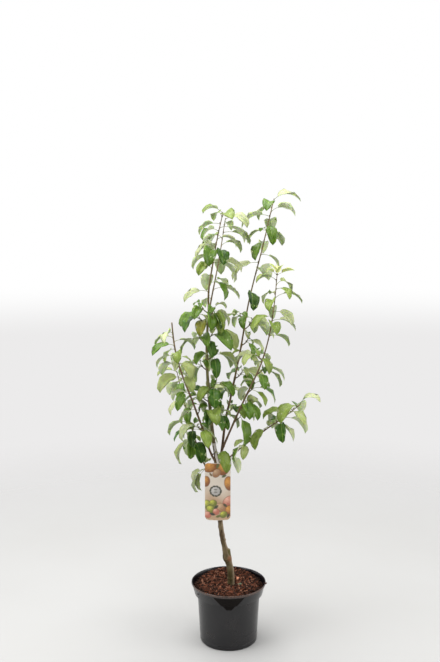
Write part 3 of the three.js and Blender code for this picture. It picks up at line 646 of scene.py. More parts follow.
def limb_radius(limb, share, height):
    """Radius of a limb: straight lines between the trunk's heights, or from foot to tip."""
    if "taper" in limb:
        heights, radii = zip(*limb["taper"])
        return np.interp(height, heights, radii)
    return blend((limb["foot"], limb["tip"]), share)


def limb_frame(limb, share):
    """Centres of a limb, its direction, and the two directions across it, at many shares."""
    centre = curve_points(limb["line"], share)
    ahead = curve_points(limb["line"], np.minimum(1, share + 0.002))
    ahead = ahead - curve_points(limb["line"], np.maximum(0, share - 0.002))
    ahead /= np.linalg.norm(ahead, axis=-1, keepdims=True)
    across = np.stack([ahead[..., 2], 0 * ahead[..., 0], -ahead[..., 0]], -1)
    across /= np.linalg.norm(across, axis=-1, keepdims=True)
    return centre, ahead, across, np.cross(ahead, across)


def limb_skin(limb, start, end, knots, rough, seed, round_end=True):
    """Bark over a stretch of a limb, as a grid along it and round it.

    The radius is the limb's own, swollen by a bell curve at each knot on the side that it
    faces, and roughened by waves that run round and along it, which meet where they close.
    """
    length = np.linalg.norm(np.diff(curve_points(limb["line"], np.linspace(start, end, 60)),
                                    axis=0), axis=1).sum()
    rows = max(8, int(length / ROW_STEP))
    share = np.linspace(start, end, rows)
    centre, ahead, across, deep = limb_frame(limb, share)
    away = np.linspace(0, length, rows)[:, None]
    angle = np.linspace(0, 2 * np.pi, LIMB_SIDES, endpoint=False)[None, :]
    base = limb_radius(limb, share, centre[:, 2])[:, None]
    radius = base * np.ones_like(angle)
    for knot_share, knot_turn, swell, spread in knots:
        place = length * (knot_share - start) / (end - start)
        row = int(np.clip(round((rows - 1) * (knot_share - start) / (end - start)), 0, rows - 1))
        facing = np.array([math.cos(knot_turn), math.sin(knot_turn), 0])
        side = math.atan2(facing @ deep[row], facing @ across[row])
        bell = np.exp(-((away - place) / spread) ** 2)
        near = (0.5 + 0.5 * np.cos(angle - side)) ** 2
        radius = radius + swell * bell * blend((KNOT_BEHIND, 1), near)
    draws = np.random.default_rng(seed)
    for lobes in BARK_LOBES:
        for pace in BARK_PACES:
            phase, slant = draws.uniform(0, 2 * np.pi), draws.normal(0, BARK_SLANT)
            wave = np.sin(lobes * angle + (pace + slant) * away + phase)
            radius = radius + base * rough * wave * draws.uniform(*BARK_RISE) / math.sqrt(lobes)
    if round_end:
        radius = radius * np.sqrt(np.clip((length - away) / (base * TIP_ROUND), 0, 1))
    points = centre[:, None] + radius[..., None] * (
        np.cos(angle)[..., None] * across[:, None] + np.sin(angle)[..., None] * deep[:, None])
    return capped(points, centre), grid_faces(rows + 2, LIMB_SIDES)


def new_group(name, inputs, outputs):
    """A node group with its inputs and outputs, each a name and a kind, and its two end nodes."""
    group = bpy.data.node_groups.new(name, "ShaderNodeTree")
    for way, sockets in (("INPUT", inputs), ("OUTPUT", outputs)):
        for socket, kind in sockets.items():
            group.interface.new_socket(name=socket, in_out=way, socket_type=f"NodeSocket{kind}")
    return group, group.nodes.new("NodeGroupInput").outputs, group.nodes.new("NodeGroupOutput")


def bark_group():
    """Young bark: two colours by height, streaks along the limb, patches and pale pores."""
    group, given, result = new_group(
        "young_bark", {"Foot Colour": "Color", "Tip Colour": "Color", "Foot Height": "Float",
                       "Tip Height": "Float"}, {"Colour": "Color", "Height": "Float"})
    place = object_place(group)
    rise = add_node(group, "ShaderNodeSeparateXYZ", Vector=place).outputs["Z"]
    share = map_range(group, rise, given["Foot Height"], given["Tip Height"])
    colour = mix_colours(group, share, given["Foot Colour"], given["Tip Colour"])
    streak = noise(group, *BARK_STREAKS)
    dark = mix_colours(group, STREAK_SHARE, colour, tone(*STREAK_TONE))
    colour = mix_colours(group, map_range(group, streak, 0.4, 0.6), dark, colour)
    patch = map_range(group, noise(group, *BARK_PATCHES), 0.5, 0.78, 0.0, PATCH_SHARE)
    colour = mix_colours(group, patch, colour, tone(*PATCH_TONE))
    pores = add_node(group, "ShaderNodeTexVoronoi", Scale=PORE_SCALE,
                     Vector=place).outputs["Distance"]
    pore = calculate(group, "LESS_THAN", pores, PORE_REACH)
    colour = mix_colours(group, multiply(group, pore, PORE_SHARE), colour, tone(*PORE_TONE))
    feed(result, "Colour", colour)
    feed(result, "Height", calculate(group, "MULTIPLY_ADD", streak, STREAK_RELIEF,
                                     multiply(group, pore, PORE_RELIEF)))
    return group


young_bark = bark_group()


def bark_material(name, foot_colour, tip_colour, foot_height, tip_height, roughness, depth):
    """Bark between two colours at two heights in metres, with relief to a depth in metres."""
    material, tree, shader = new_material(name, tone(*foot_colour), roughness)
    shader.inputs["Specular IOR Level"].default_value = BARK_GLOSS
    skin = add_node(tree, "ShaderNodeGroup", {"node_tree": young_bark},
                    Foot_Colour=tone(*foot_colour), Tip_Colour=tone(*tip_colour),
                    Foot_Height=foot_height, Tip_Height=tip_height)
    feed(shader, "Base Color", skin.outputs["Colour"])
    add_bump(tree, shader, skin.outputs["Height"], 0.7, depth)
    return material


trunk_bark = bark_material("trunk_bark", (78, 68, 36), (90, 70, 46), 0.28, 0.42, 0.6, 0.003)
# Red-brown callus where stem and rootstock have grown together, and painted light, paler, on the
# side that faces right
scar_tree, scar_shader = trunk_bark.node_tree, trunk_bark.node_tree.nodes["Principled BSDF"]
scar_away = add_node(scar_tree, "ShaderNodeVectorMath", {"operation": "DISTANCE"},
                     i0=object_place(scar_tree), i1=SCAR_PLACE).outputs["Value"]
scar_edge = multiply(scar_tree, noise(scar_tree, 200, 3), SCAR_REACH)
scar_share = map_range(scar_tree, calculate(scar_tree, "ADD", scar_away, scar_edge),
                       SCAR_REACH, 1.7 * SCAR_REACH, SCAR_SHARE, 0.0)
bark_colour = scar_shader.inputs["Base Color"].links[0].from_socket
bark_normal = add_node(scar_tree, "ShaderNodeNewGeometry").outputs["Normal"]
bark_right = add_node(scar_tree, "ShaderNodeSeparateXYZ", Vector=bark_normal).outputs["X"]
lit_side_share = map_range(scar_tree, bark_right, 0.2, 1.0, 0.0, LIT_SIDE_SHARE)
bark_colour = mix_colours(scar_tree, lit_side_share, bark_colour, tone(*LIT_SIDE_TONE))
feed(scar_shader, "Base Color",
     mix_colours(scar_tree, scar_share, bark_colour, tone(*SCAR_TONE)))
leader_bark = bark_material("leader_bark", (90, 70, 46), (150, 142, 96), 0.68, 0.86, 0.6, 0.002)

limbs = {"trunk": {"line": TRUNK_LINE, "taper": TRUNK_TAPER}}
TRUNK_KNOTS = [
    # height, compass turn, swelling, spread
    (236, 200, 1.5, 7), (268, 20, 1.0, 6), (312, 250, 3.0, 15), (322, 150, 2.4, 14),
    (384, 350, 2.2, 6), (404, 10, 1.6, 8), (436, 160, 1.3, 6), (470, 300, 1.0, 6),
    (512, 60, 1.2, 6), (566, 220, 1.2, 6), (606, 120, 1.4, 9), (640, 330, 1.0, 6),
    (662, 20, 2.0, 16), (676, 200, 2.0, 14), (700, 80, 1.4, 8),
]
trunk_knots = [(at_height(limbs["trunk"], height), math.radians(turn), swell, spread)
               for height, turn, swell, spread in TRUNK_KNOTS]


def stub_skin(foot, top, radius, cut):
    """A straight stub that bulges under its top, with a slanting cut rolled at its edge.

    Rings run from its foot to its top, and then shrink over the cut to its middle, where the
    wood has dried and sunk a little.
    """
    foot, top = np.array(foot, float), np.array(top, float)
    ahead = (top - foot) / np.linalg.norm(top - foot)
    across = np.array([ahead[2], 0, -ahead[0]]) / math.hypot(ahead[2], ahead[0])
    deep = np.cross(ahead, across)
    share = np.concatenate([np.linspace(0, 1, SNAG_ROWS), np.ones(6)])
    inward = np.concatenate([np.ones(SNAG_ROWS), [0.97, 0.9, 0.78, 0.4, 0.1, 0]])
    sunk = np.concatenate([np.zeros(SNAG_ROWS), [0.5, 0.6, 0.1, -0.5, -0.8, -0.8]])
    angle = np.linspace(0, 2 * np.pi, SNAG_SIDES, endpoint=False)
    ring = radius * (0.86 + 0.14 * np.sin(np.pi * np.clip(share * 1.15 - 0.1, 0, 1)))
    ring = ring[:, None] * (1 + 0.035 * np.sin(3 * angle + 1) + 0.02 * np.sin(7 * angle + 4))
    ring = ring * inward[:, None]
    slant = -math.tan(math.radians(cut)) * ring * np.cos(angle) * (share[:, None] == 1)
    along = share[:, None] * np.linalg.norm(top - foot) + sunk[:, None] + slant
    points = foot + along[..., None] * ahead + ring[..., None] * (
        np.cos(angle)[:, None] * across + np.sin(angle)[:, None] * deep)
    return points, grid_faces(len(share), SNAG_SIDES)


trunk_points, trunk_faces = limb_skin(limbs["trunk"], 0, 1, trunk_knots, 0.012, 3)
in_leader = trunk_points.reshape(-1, 3)[trunk_faces[:, 0], 2] > LEADER_FOOT
trunk = build_mesh("trunk_bark", trunk_points, trunk_faces, [trunk_bark, leader_bark], in_leader)
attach(trunk, "root")
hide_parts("trunk")

cut_wood = grainy_material("cut_wood", (74, 60, 42), (140, 122, 92), 0.8, (300, 5), (0.5, 0.001))
stub_bark = bark_material("stub_bark", (122, 66, 38), (110, 104, 58), 0.305, 0.335, 0.6, 0.003)
stub_points, stub_faces = stub_skin(SNAG_FOOT, SNAG_TOP, SNAG_RADIUS, SNAG_CUT)
stub_top = np.arange(len(stub_faces)) >= SNAG_SIDES * (SNAG_ROWS + 1)
stub = build_mesh("graft_stub", stub_points, stub_faces, [stub_bark, cut_wood], stub_top)
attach(stub, "root")
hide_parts("trunk")

# Boughs and tops
# Five long boughs leave the trunk or each other at narrow angles and rise steeply, and the
# leader ends in two slender tops. Each is one tapering limb of brown bark, greener at its tip.

BOUGHS = {
    "right": {
        "parent": "trunk", "rise": 1290, "foot": 5.6, "tip": 1.6,
        "line": [(-43, 4, 664), (-27, 24, 714), (-12, 46, 831), (10, 58, 928), (45, 68, 1101),
                 (76, 74, 1281), (124, 74, 1474), (164, 70, 1648)],
    },
    "front_right": {
        "parent": "right", "rise": 1152, "foot": 4.3, "tip": 1.3,
        "line": [(-25, 27, 722), (-5, 0, 779), (40, -35, 892), (79, -58, 981), (114, -72, 1063),
                 (141, -84, 1162), (158, -90, 1273), (168, -92, 1388)],
    },
    "low_right": {
        "parent": "trunk", "rise": 800, "foot": 3.6, "tip": 1.4,
        "line": [(-44, 4, 656), (-18, -2, 684), (12, -8, 712), (62, -14, 755), (141, -22, 816),
                 (198, -28, 857), (260, -30, 908)],
    },
    "left": {
        "parent": "trunk", "rise": 905, "foot": 4.4, "tip": 2.4,
        "line": [(-44, 2, 676), (-62, -14, 712), (-80, -28, 763), (-98, -42, 826),
                 (-133, -60, 928), (-175, -76, 1046), (-194, -84, 1130), (-203, -88, 1214)],
    },
    "low_left": {
        "parent": "trunk", "rise": 800, "foot": 3.6, "tip": 1.3,
        "line": [(-41, 4, 606), (-66, 16, 637), (-96, 34, 676), (-123, 54, 746), (-154, 76, 849),
                 (-180, 92, 934), (-195, 100, 1006)],
    },
}
TOPS = {
    "top_left": {
        "foot": 4.0, "tip": 1.2,
        "line": [(-74, 0, 1248), (-73, -10, 1324), (-58, -18, 1420), (-42, -26, 1510),
                 (-22, -28, 1600)],
    },
    "top_right": {
        "foot": 3.4, "tip": 1.2,
        "line": [(-74, 0, 1230), (-64, 10, 1290), (-46, 24, 1380), (-30, 32, 1470),
                 (-14, 38, 1576)],
    },
}

limbs.update(BOUGHS)
limbs.update(TOPS)
splits = {name: at_height(limbs[name], bough["rise"]) for name, bough in BOUGHS.items()}
splits.update({name: 0.0 for name in TOPS})

# Leafy growth
# Leaves sit singly along the ends of the limbs, turning round them by the golden angle, and in
# small fans at the ends of short side stems. This is the rule that the solid model grows by.

LEAF_LENGTH = 76
LENGTH_SHARE = 0.84, 1.16
WIDTH_SHARE = 0.5, 0.66
STALK_LENGTH = 18, 36
LIFT, DROOP = (2, 48), (-66, -106)
ROLL, FOLD = (-35, 35), (14, 34)
WIDEST = 0.82
FULLNESS = 0.6
LEAF_CLEAR = 10
LIMB_CLEAR = 4
LEAF_NEAR = 120
LIMB_STEPS = 161
TURNS_ASIDE = 0, 24, -24, 48, -48, 75, -75
GOLDEN_TURN = 137.5
SPRAY_SEEDS = 50
SIDE_SEED = 101
END_FIRST = 0.06
END_STRAY = 40
END_SWELL = 1.06
END_SHRINK = 0.04
END_PERK = 26
PERK_POWER = 5
FAN_TURN = 64
FAN_STRAY = 50
FAN_STEP = 0.12
STEM_OUT, STEM_RISE, STEM_UPTURN = 0.8, 0.25, 0.45
END_KEYS = "limb", "turn", "lean", "pull", "crowd", "last", "leaves", "size", "seed"
ENDS = [
    # limb, first turn, side leaned to, pull to that side, crowding to the tip, share where the
    # leaves stop, leaves, size, seed
    ("top_left", 40, 180, 0.35, 0.6, 0.99, 18, 1.0, 11),
    ("top_right", 10, 10, 0.5, 0.66, 1, 13, 1.0, 12),
    ("right", 270, 0, 0.1, 0.62, 1, 15, 1.12, 13),
    ("front_right", 350, 0, 0.4, 0.9, 0.95, 14, 0.92, 14),
    ("low_right", 55, 340, 0.3, 0.9, 1, 11, 1.1, 15),
    ("left", 20, 185, 0.7, 1, 0.9, 17, 0.98, 26),
    ("low_left", 170, 180, 0.3, 1, 0.99, 9, 0.95, 17),
]
SIDE_KEYS = "limb", "height", "turn", "stem", "leaves", "size", "hang"
SIDES = [
    # limb, height, turn, stem, leaves, size, droop of the whole spray
    ("left", 716, 345, 12, 1, 1.05, 6), ("trunk", 838, 20, 26, 4, 0.95, 0),
    ("trunk", 862, 275, 24, 5, 1.05, 0), ("trunk", 912, 195, 24, 4, 0.95, 0),
    ("trunk", 960, 325, 34, 5, 1.05, 0), ("trunk", 1030, 165, 20, 3, 0.95, 0),
    ("trunk", 1068, 350, 30, 5, 1.05, 0), ("trunk", 1128, 190, 26, 4, 1.0, 0),
    ("trunk", 1146, 340, 18, 3, 1.2, 0), ("trunk", 1196, 172, 30, 4, 1.0, 0),
    ("trunk", 1226, 330, 16, 4, 1.1, 0), ("trunk", 1240, 200, 22, 3, 0.95, 0),
    ("right", 862, 10, 18, 3, 0.95, 0), ("right", 925, 110, 24, 4, 1.0, 0),
    ("right", 988, 350, 26, 4, 0.95, 0), ("right", 1060, 40, 20, 3, 0.9, 0),
    ("right", 1112, 0, 22, 3, 0.85, 0), ("right", 1172, 20, 28, 3, 0.95, 0),
    ("right", 1206, 190, 18, 3, 0.95, 0), ("front_right", 846, 338, 22, 1, 1.3, 26),
    ("front_right", 895, 340, 16, 3, 0.95, 0), ("front_right", 958, 10, 18, 4, 1.0, 0),
    ("front_right", 1026, 345, 20, 3, 1.0, 0), ("front_right", 1078, 170, 20, 4, 0.9, 0),
    ("low_right", 690, 55, 14, 2, 1.05, 24), ("low_right", 752, 300, 14, 3, 0.95, 0),
    ("left", 812, 215, 22, 5, 1.0, 0), ("left", 876, 60, 18, 3, 0.95, 0),
    ("low_left", 646, 205, 14, 4, 1.05, 34), ("low_left", 742, 190, 20, 4, 1.05, 22),
    ("low_left", 786, 280, 18, 3, 0.95, 0),
]
LABEL_WIDTH = 98
LABEL_BOTTOM = 467
LABEL_TOP = 685
LABEL_X = -41
LABEL_FRONT = -20
LABEL_CLEAR = 5
LABEL_AHEAD, LABEL_BEHIND = 7, 16
STRAP_LOOP = 752
STRAP_WIDTH = 8
STRAP_CLEAR = 14
# Small leaves: the room they need, the turns aside that they try, and their shorter stalk
YOUNG_CLEAR = 5
YOUNG_ASIDE = 0, 40, -40
YOUNG_STALK = 0.6
NEWEST_ARCH = 44


def draw(seed, count):
    """A repeatable number from 0 to 1: the fraction of a large multiple of a sine."""
    value = math.sin(seed * 127.1 + count * 311.7) * 43758.5453
    return value - math.floor(value)


def between(limits, seed, count):
    """A repeatable number between two limits."""
    return blend(limits, draw(seed, count))


def leaf_frame(leaf, distance):
    """Centre, side and normal of leaves at distances from their roots.

    A leaf is an arc that starts at its lift and bends evenly to its droop. Its side is level,
    turned about the arc by the leaf's roll.
    """
    parts = ("x", "y", "z", "turn", "length", "stalk", "lift", "droop", "roll")
    x, y, z, turn, length, stalk, lift, droop, roll = (np.asarray(leaf[k])[..., None]
                                                       for k in parts)
    bend = (droop - lift) / (stalk + length)
    slope = lift + bend * distance
    out = (np.sin(slope) - np.sin(lift)) / bend
    up = (np.cos(lift) - np.cos(slope)) / bend
    centre = np.stack([x + out * np.cos(turn), y + out * np.sin(turn), z + up], -1)
    ahead = np.stack([np.cos(slope) * np.cos(turn), np.cos(slope) * np.sin(turn),
                      np.sin(slope)], -1)
    level = np.stack([-np.sin(turn), np.cos(turn), 0 * turn], -1)
    above = np.cross(ahead, level)
    roll = roll[..., None]
    side = level * np.cos(roll) + above * np.sin(roll)
    normal = above * np.cos(roll) - level * np.sin(roll)
    return centre, side, normal


def blade_half(leaf, share):
    """Half-width of a blade: full near the middle of its length and drawn out to a point."""
    width = np.asarray(leaf["width"])[..., None]
    return width / 2 * np.sin(np.pi * np.asarray(share) ** WIDEST) ** FULLNESS


def make_leaf(root, turn, size, perk, seed):
    """One leaf's numbers, each drawn between its limits from the leaf's own seed."""
    length = LEAF_LENGTH * size * between(LENGTH_SHARE, seed, 1)
    return {
        "x": root[0], "y": root[1], "z": root[2], "turn": turn, "length": length,
        "width": length * between(WIDTH_SHARE, seed, 2),
        "stalk": between(STALK_LENGTH, seed, 3),
        "lift": math.radians(between(LIFT, seed, 4)) + perk,
        "droop": math.radians(between(DROOP, seed, 5)) + perk,
        "roll": math.radians(between(ROLL, seed, 6)),
        "fold": math.radians(between(FOLD, seed, 7)),
    }


def leaf_samples(leaf):
    """Points on a leaf's stalk, rib, edges and half-blades, to test it against its neighbours."""
    stalk_points = leaf_frame(leaf, leaf["stalk"] * np.array([0.4, 0.75]))[0]
    shares = np.array([0.02, 0.14, 0.27, 0.4, 0.54, 0.68, 0.82, 0.95])
    centre, side, normal = leaf_frame(leaf, leaf["stalk"] + leaf["length"] * shares)
    half = blade_half(leaf, shares)[:, None]
    out, up = side * half * math.cos(leaf["fold"]), normal * half * math.sin(leaf["fold"])
    left, right = centre + out + up, centre - out + up
    return np.vstack([stalk_points, centre, left, right, (centre + left) / 2, (centre + right) / 2])


def stem_point(spray, share):
    """A side spray's stem: out from the limb's axis in proportion, and up ever more steeply."""
    share = np.asarray(share, float)
    out = (spray["radius"] + spray["stem"] * STEM_OUT) * share
    up = spray["stem"] * (STEM_RISE * share + STEM_UPTURN * share * share)
    turn = math.radians(spray["turn"])
    return spray["root"] + np.stack([out * math.cos(turn), out * math.sin(turn), up], -1)


def spray_spots(spray):
    """Root, turn, size and upward tilt of each leaf of a spray, and its share of the limb."""
    spots = []
    for k in range(spray["leaves"]):
        stray = draw(spray["seed"], k) - 0.5
        if "lean" in spray:
            age = k / (spray["leaves"] - 1)
            place = END_FIRST + (spray["last"] - END_FIRST) * age ** spray["crowd"]
            share = spray["from"] + (1 - spray["from"]) * place
            turn = math.radians(spray["turn"] + GOLDEN_TURN * k + END_STRAY * stray)
            lean, pull = math.radians(spray["lean"]), spray["pull"]
            turn = math.atan2(math.sin(turn) + pull * math.sin(lean),
                              math.cos(turn) + pull * math.cos(lean))
            root = curve_points(limbs[spray["limb"]]["line"], share)
            spots.append((root, turn, spray["size"] * (END_SWELL - END_SHRINK * age * age),
                          math.radians(END_PERK * age ** PERK_POWER), share))
        else:
            step = math.ceil(k / 2) * (1 if k % 2 == 1 else -1)
            turn = math.radians(spray["turn"] + FAN_TURN * step + FAN_STRAY * stray)
            spots.append((stem_point(spray, 1 - FAN_STEP * k), turn, spray["size"],
                          -math.radians(spray["hang"]), None))
    return spots


def in_label(points):
    """Whether each point lies in the space of the label or its strap."""
    x, y, z = points.T
    aside = np.abs(x - LABEL_X)
    card = (aside < LABEL_WIDTH / 2 + LABEL_CLEAR) & (z > LABEL_BOTTOM - LABEL_CLEAR)
    card &= z < LABEL_TOP + LABEL_CLEAR
    strap = (aside < STRAP_CLEAR) & (z >= LABEL_TOP) & (z < STRAP_LOOP + STRAP_WIDTH)
    return (y > LABEL_FRONT - LABEL_AHEAD) & (y < LABEL_FRONT + LABEL_BEHIND) & (card | strap)


sprays = [dict(zip(END_KEYS, row)) for row in ENDS]
for spray in sprays:
    spray.update({"name": f"spray_{spray['limb']}_end", "from": splits[spray["limb"]]})
for count, row in enumerate(SIDES):
    spray = dict(zip(SIDE_KEYS, row))
    limb = limbs[spray["limb"]]
    share = at_height(limb, spray["height"])
    spray.update({"name": f"spray_{spray['limb']}_{spray['height']}", "seed": SIDE_SEED + count,
                  "share": share, "root": curve_points(limb["line"], share),
                  "radius": float(limb_radius(limb, share, spray["height"]))})
    sprays.append(spray)

limb_shares = np.linspace(0, 1, LIMB_STEPS)
limb_centres = [curve_points(limb["line"], limb_shares) for limb in limbs.values()]
limb_radii = np.concatenate([limb_radius(limb, limb_shares, centre[:, 2])
                             for limb, centre in zip(limbs.values(), limb_centres)])
limb_centres = np.concatenate(limb_centres)
grown = []
placed = {"points": np.zeros((0, 3)), "sprays": np.zeros(0, int)}


def touches(number, samples, clear):
    """Whether a leaf of a spray would touch a limb, the label or a leaf of another spray."""
    if in_label(samples).any():
        return True
    apart = np.linalg.norm(samples[:, None] - limb_centres[None], axis=-1)
    if (apart < limb_radii + LIMB_CLEAR).any():
        return True
    others = placed["points"][placed["sprays"] != number]
    near = others[np.linalg.norm(others - samples.mean(0), axis=1) < LEAF_NEAR]
    return bool((np.linalg.norm(samples[:, None] - near[None], axis=-1) < clear).any())


def grow(number, root, turn, size, perk, seed, share=None, young=0.0):
    """Adds a leaf to a spray at the first turn aside where it touches nothing, or skips it.

    The newest leaves, young by 1, stand close together and are all kept.
    """
    for aside in YOUNG_ASIDE if young else TURNS_ASIDE:
        leaf = make_leaf(root, turn + math.radians(aside), size, perk, seed)
        leaf.update(spray=number, share=share, young=young)
        leaf["stalk"] *= YOUNG_STALK if young else 1
        samples = leaf_samples(leaf)
        if young < 1 and touches(number, samples, YOUNG_CLEAR if young else LEAF_CLEAR):
            continue
        if young == 1:
            leaf["droop"] = leaf["lift"] - math.radians(NEWEST_ARCH)
        grown.append(leaf)
        placed["points"] = np.vstack([placed["points"], samples])
        placed["sprays"] = np.append(placed["sprays"], np.full(len(samples), number))
        return


for number, spray in enumerate(sprays):
    for k, (root, turn, size, perk, share) in enumerate(spray_spots(spray)):
        grow(number, root, turn, size, perk, spray["seed"] * SPRAY_SEEDS + k, share)

# Young growth
# A short soft shoot carries each side stem on, with one or two half-grown leaves, and small
# leaves fill the upper part of each limb's leafy end, but for the left bough, cut bare at its
# tip. The newest, nearly cream, stand at the tip of the front right bough.

YOUNG_SEED = 25
YOUNG_SPAN = 0.3, 0.995
YOUNG_START = 60
YOUNG_SIZE = 0.62, 0.42
YOUNG_PERK = 12, 50
BARE_TIP = "left"
BARE_FROM = 0.5
NEWEST_TIP = "front_right"
NEWEST_SHARE = 0.99
NEWEST_SEED = 20
# Compass turn, size and upward tilt of the newest leaves
NEWEST_LEAVES = (190, 0.5, 36), (345, 0.7, 4), (80, 0.5, 50), (215, 0.42, 12), (300, 0.55, 44)
SHOOT_LENGTH = 15
SHOOT_OUT, SHOOT_UP = 0.35, 0.95
SHOOT_SPAN = 0.6, 1.4
SHOOT_LEAF_SIZE = 0.5, 0.66
SHOOT_LEAF_PERK = 16
# How young a leaf is, from 0 to 1: at a limb's tip, and on a shoot
TIP_YOUTH, SHOOT_YOUTH = 0.6, 0.35

shoots = []
for number, spray in enumerate(sprays):
    seed = spray["seed"] * SPRAY_SEEDS + YOUNG_SEED
    if "lean" in spray:
        line, count = limbs[spray["limb"]]["line"], spray["leaves"] // 2
        ages = [(k + 0.5) / count for k in range(count)]
        for k, age in enumerate(ages):
            share = blend((spray["from"], 1), blend(YOUNG_SPAN, age ** spray["crowd"]))
            turn = math.radians(spray["turn"] + YOUNG_START + GOLDEN_TURN * k)
            if spray["limb"] != BARE_TIP or age < BARE_FROM:
                grow(number, curve_points(line, share), turn, blend(YOUNG_SIZE, age),
                     math.radians(blend(YOUNG_PERK, age)), seed + k, young=TIP_YOUTH * age)
        if spray["limb"] == NEWEST_TIP:
            for k, (turn, size, perk) in enumerate(NEWEST_LEAVES):
                grow(number, curve_points(line, NEWEST_SHARE), math.radians(turn), size,
                     math.radians(perk), seed + NEWEST_SEED + k, young=1)
    elif spray["leaves"] > 2:
        tip, reach = stem_point(spray, 1.0), math.radians(spray["turn"])
        bow = SHOOT_LENGTH * np.array(
            [SHOOT_OUT * math.cos(reach), SHOOT_OUT * math.sin(reach), SHOOT_UP])
        end = tip + bow * between(SHOOT_SPAN, seed, 1)
        shoots.append((tip, end))
        for k in range(2):
            turn = reach + math.radians(100 - 200 * k + 60 * draw(seed, 2 + k))
            grow(number, end - 0.25 * k * bow, turn, between(SHOOT_LEAF_SIZE, seed, 4 + k),
                 math.radians(SHOOT_LEAF_PERK), seed + k, young=SHOOT_YOUTH)

# Bark of the boughs and tops: smooth, with a swollen knot where each stem or leaf sits
bough_bark = bark_material(
    "bough_bark", (112, 82, 60), (146, 128, 88), 0.65, 1.5, 0.5, 0.0014)
limb_knots = {name: [] for name in limbs}
for spray in sprays:
    if "stem" in spray:
        limb_knots[spray["limb"]].append((spray["share"], math.radians(spray["turn"]), 1.5, 5))
for leaf in grown:
    if leaf["share"] is not None:
        name = sprays[leaf["spray"]]["limb"]
        limb_knots[name].append((leaf["share"], leaf["turn"], 0.9, 3))
for name in [*BOUGHS, *TOPS]:
    bare = [(share, GOLDEN_TURN * count, 0.7, 3.5)
            for count, share in enumerate(np.linspace(0.05, splits[name], 9)) if splits[name]]
    skin = limb_skin(limbs[name], 0, 1, limb_knots[name] + bare, 0.014, len(name) * 7,
                     round_end=name != BARE_TIP)
    piece = build_mesh(f"limb_{name}", *skin, [bough_bark])
    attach(piece, "root")
    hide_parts(*([f"bough_{name}"] if name in BOUGHS else []), f"spray_{name}_end")

# Stems, stalks and buds
# Woody side stems and soft young shoots, the thin green stalk of every leaf, and a small
# pointed brown bud in the corner between each leaf and its twig.

STEM_RADII = 2.6, 1.6
SHOOT_RADII = 1.5, 0.8
STALK_RADII = 1.05, 0.75
# Knobs of a stem: their share of its radius, and their pace
STEM_KNOBS, KNOB_PACE = 0.12, 19
# Swelling at a stalk's foot and how fast it fades, and how much slimmer a young stalk is
STALK_SWELL, SWELL_FADE, YOUNG_SLIM = 0.5, 9, 0.3
BUD_LENGTH = 5
BUD_RADIUS = 1.7
BUD_RISE = 1.5
# Turn of a bud beside its leaf in radians, its lean, its distance from the foot, and its outline
BUD_ASIDE = 0.5
BUD_OUT, BUD_UP = 0.45, 0.9
BUD_AWAY = 1.8
BUD_SPAN, BUD_FULLNESS = (0.16, 1), 0.8
LEAF_GLOSS = 0.22
# Light that passes through a leaf: its share, and how far each colour goes, in metres
LEAF_GLOW = 0.3
LEAF_GLOW_REACH, LEAF_GLOW_SCALE = (0.7, 1.0, 0.2), 0.002
# How a leaf's colour darkens and lightens in clouds, and its roughness
LEAF_DARKER, LEAF_LIGHTER = (0.72, 0.78, 0.6, 1.0), (0.6, 0.7, 0.25, 1.0)
LEAF_ROUGHNESS = 0.26, 0.42
# Noises of the leaf by their scale and detail
LEAF_CELLS, LEAF_CLOUDS = (130, 5), (40, 3)


def tubes(centres, radii, sides):
    """Tubes round many lines at once: circles across each line's direction, with closed ends.

    Centres have the shape lines by rows by 3 and radii the shape lines by rows.
    """
    ahead = np.gradient(centres, axis=1)
    ahead /= np.linalg.norm(ahead, axis=-1, keepdims=True)
    across = np.stack([ahead[..., 2], 1e-4 + 0 * ahead[..., 0], -ahead[..., 0]], -1)
    across /= np.linalg.norm(across, axis=-1, keepdims=True)
    deep = np.cross(ahead, across)
    deep /= np.linalg.norm(deep, axis=-1, keepdims=True)
    pad = [(0, 0), (1, 1), (0, 0)]
    centres, across, deep = (np.pad(a, pad, "edge") for a in (centres, across, deep))
    radii = np.pad(radii, pad[:2])
    angle = np.linspace(0, 2 * np.pi, sides, endpoint=False)[:, None]
    ring = np.cos(angle) * across[:, :, None] + np.sin(angle) * deep[:, :, None]
    points = centres[:, :, None] + radii[..., None, None] * ring
    rows = centres.shape[1]
    faces = grid_faces(rows, sides)
    faces = faces[None] + rows * sides * np.arange(len(centres))[:, None, None]
    return points.reshape(-1, 3), faces.reshape(-1, 4)


def joined(parts):
    """Points and faces of several grids as one, and the number of each face's grid."""
    starts = np.cumsum([0] + [len(points.reshape(-1, 3)) for points, faces in parts])
    points = np.vstack([points.reshape(-1, 3) for points, faces in parts])
    faces = np.vstack([faces + start for (_, faces), start in zip(parts, starts)])
    return points, faces, np.repeat(np.arange(len(parts)), [len(faces) for _, faces in parts])


stem_sprays = [spray for spray in sprays if "stem" in spray]
stem_rows = np.linspace(0, 1, 10)
stem_lines = np.stack([stem_point(spray, stem_rows) for spray in stem_sprays])
stem_wide = blend(STEM_RADII, stem_rows) * (1 + STEM_KNOBS * np.cos(stem_rows * KNOB_PACE))
shoot_rows = np.linspace(0, 1, 5)[None, :, None]
shoot_feet, shoot_tips = (np.array(ends)[:, None] for ends in zip(*shoots))
shoot_lines = shoot_feet + (shoot_tips - shoot_feet) * shoot_rows
shoot_wide = blend(SHOOT_RADII, shoot_rows[..., 0])
stem_parts = [tubes(stem_lines, np.tile(stem_wide, (len(stem_lines), 1)), 7),
              tubes(shoot_lines, np.tile(shoot_wide, (len(shoot_lines), 1)), 6)]
stem_points, stem_faces, stem_kind = joined(stem_parts)
stem_wood = bark_material("stem_bark", (98, 80, 58), (112, 100, 66), 0.7, 1.4, 0.6, 0.001)
shoot_skin = bark_material("shoot_skin", (112, 116, 62), (128, 132, 74), 0.7, 1.4, 0.5, 0.0008)
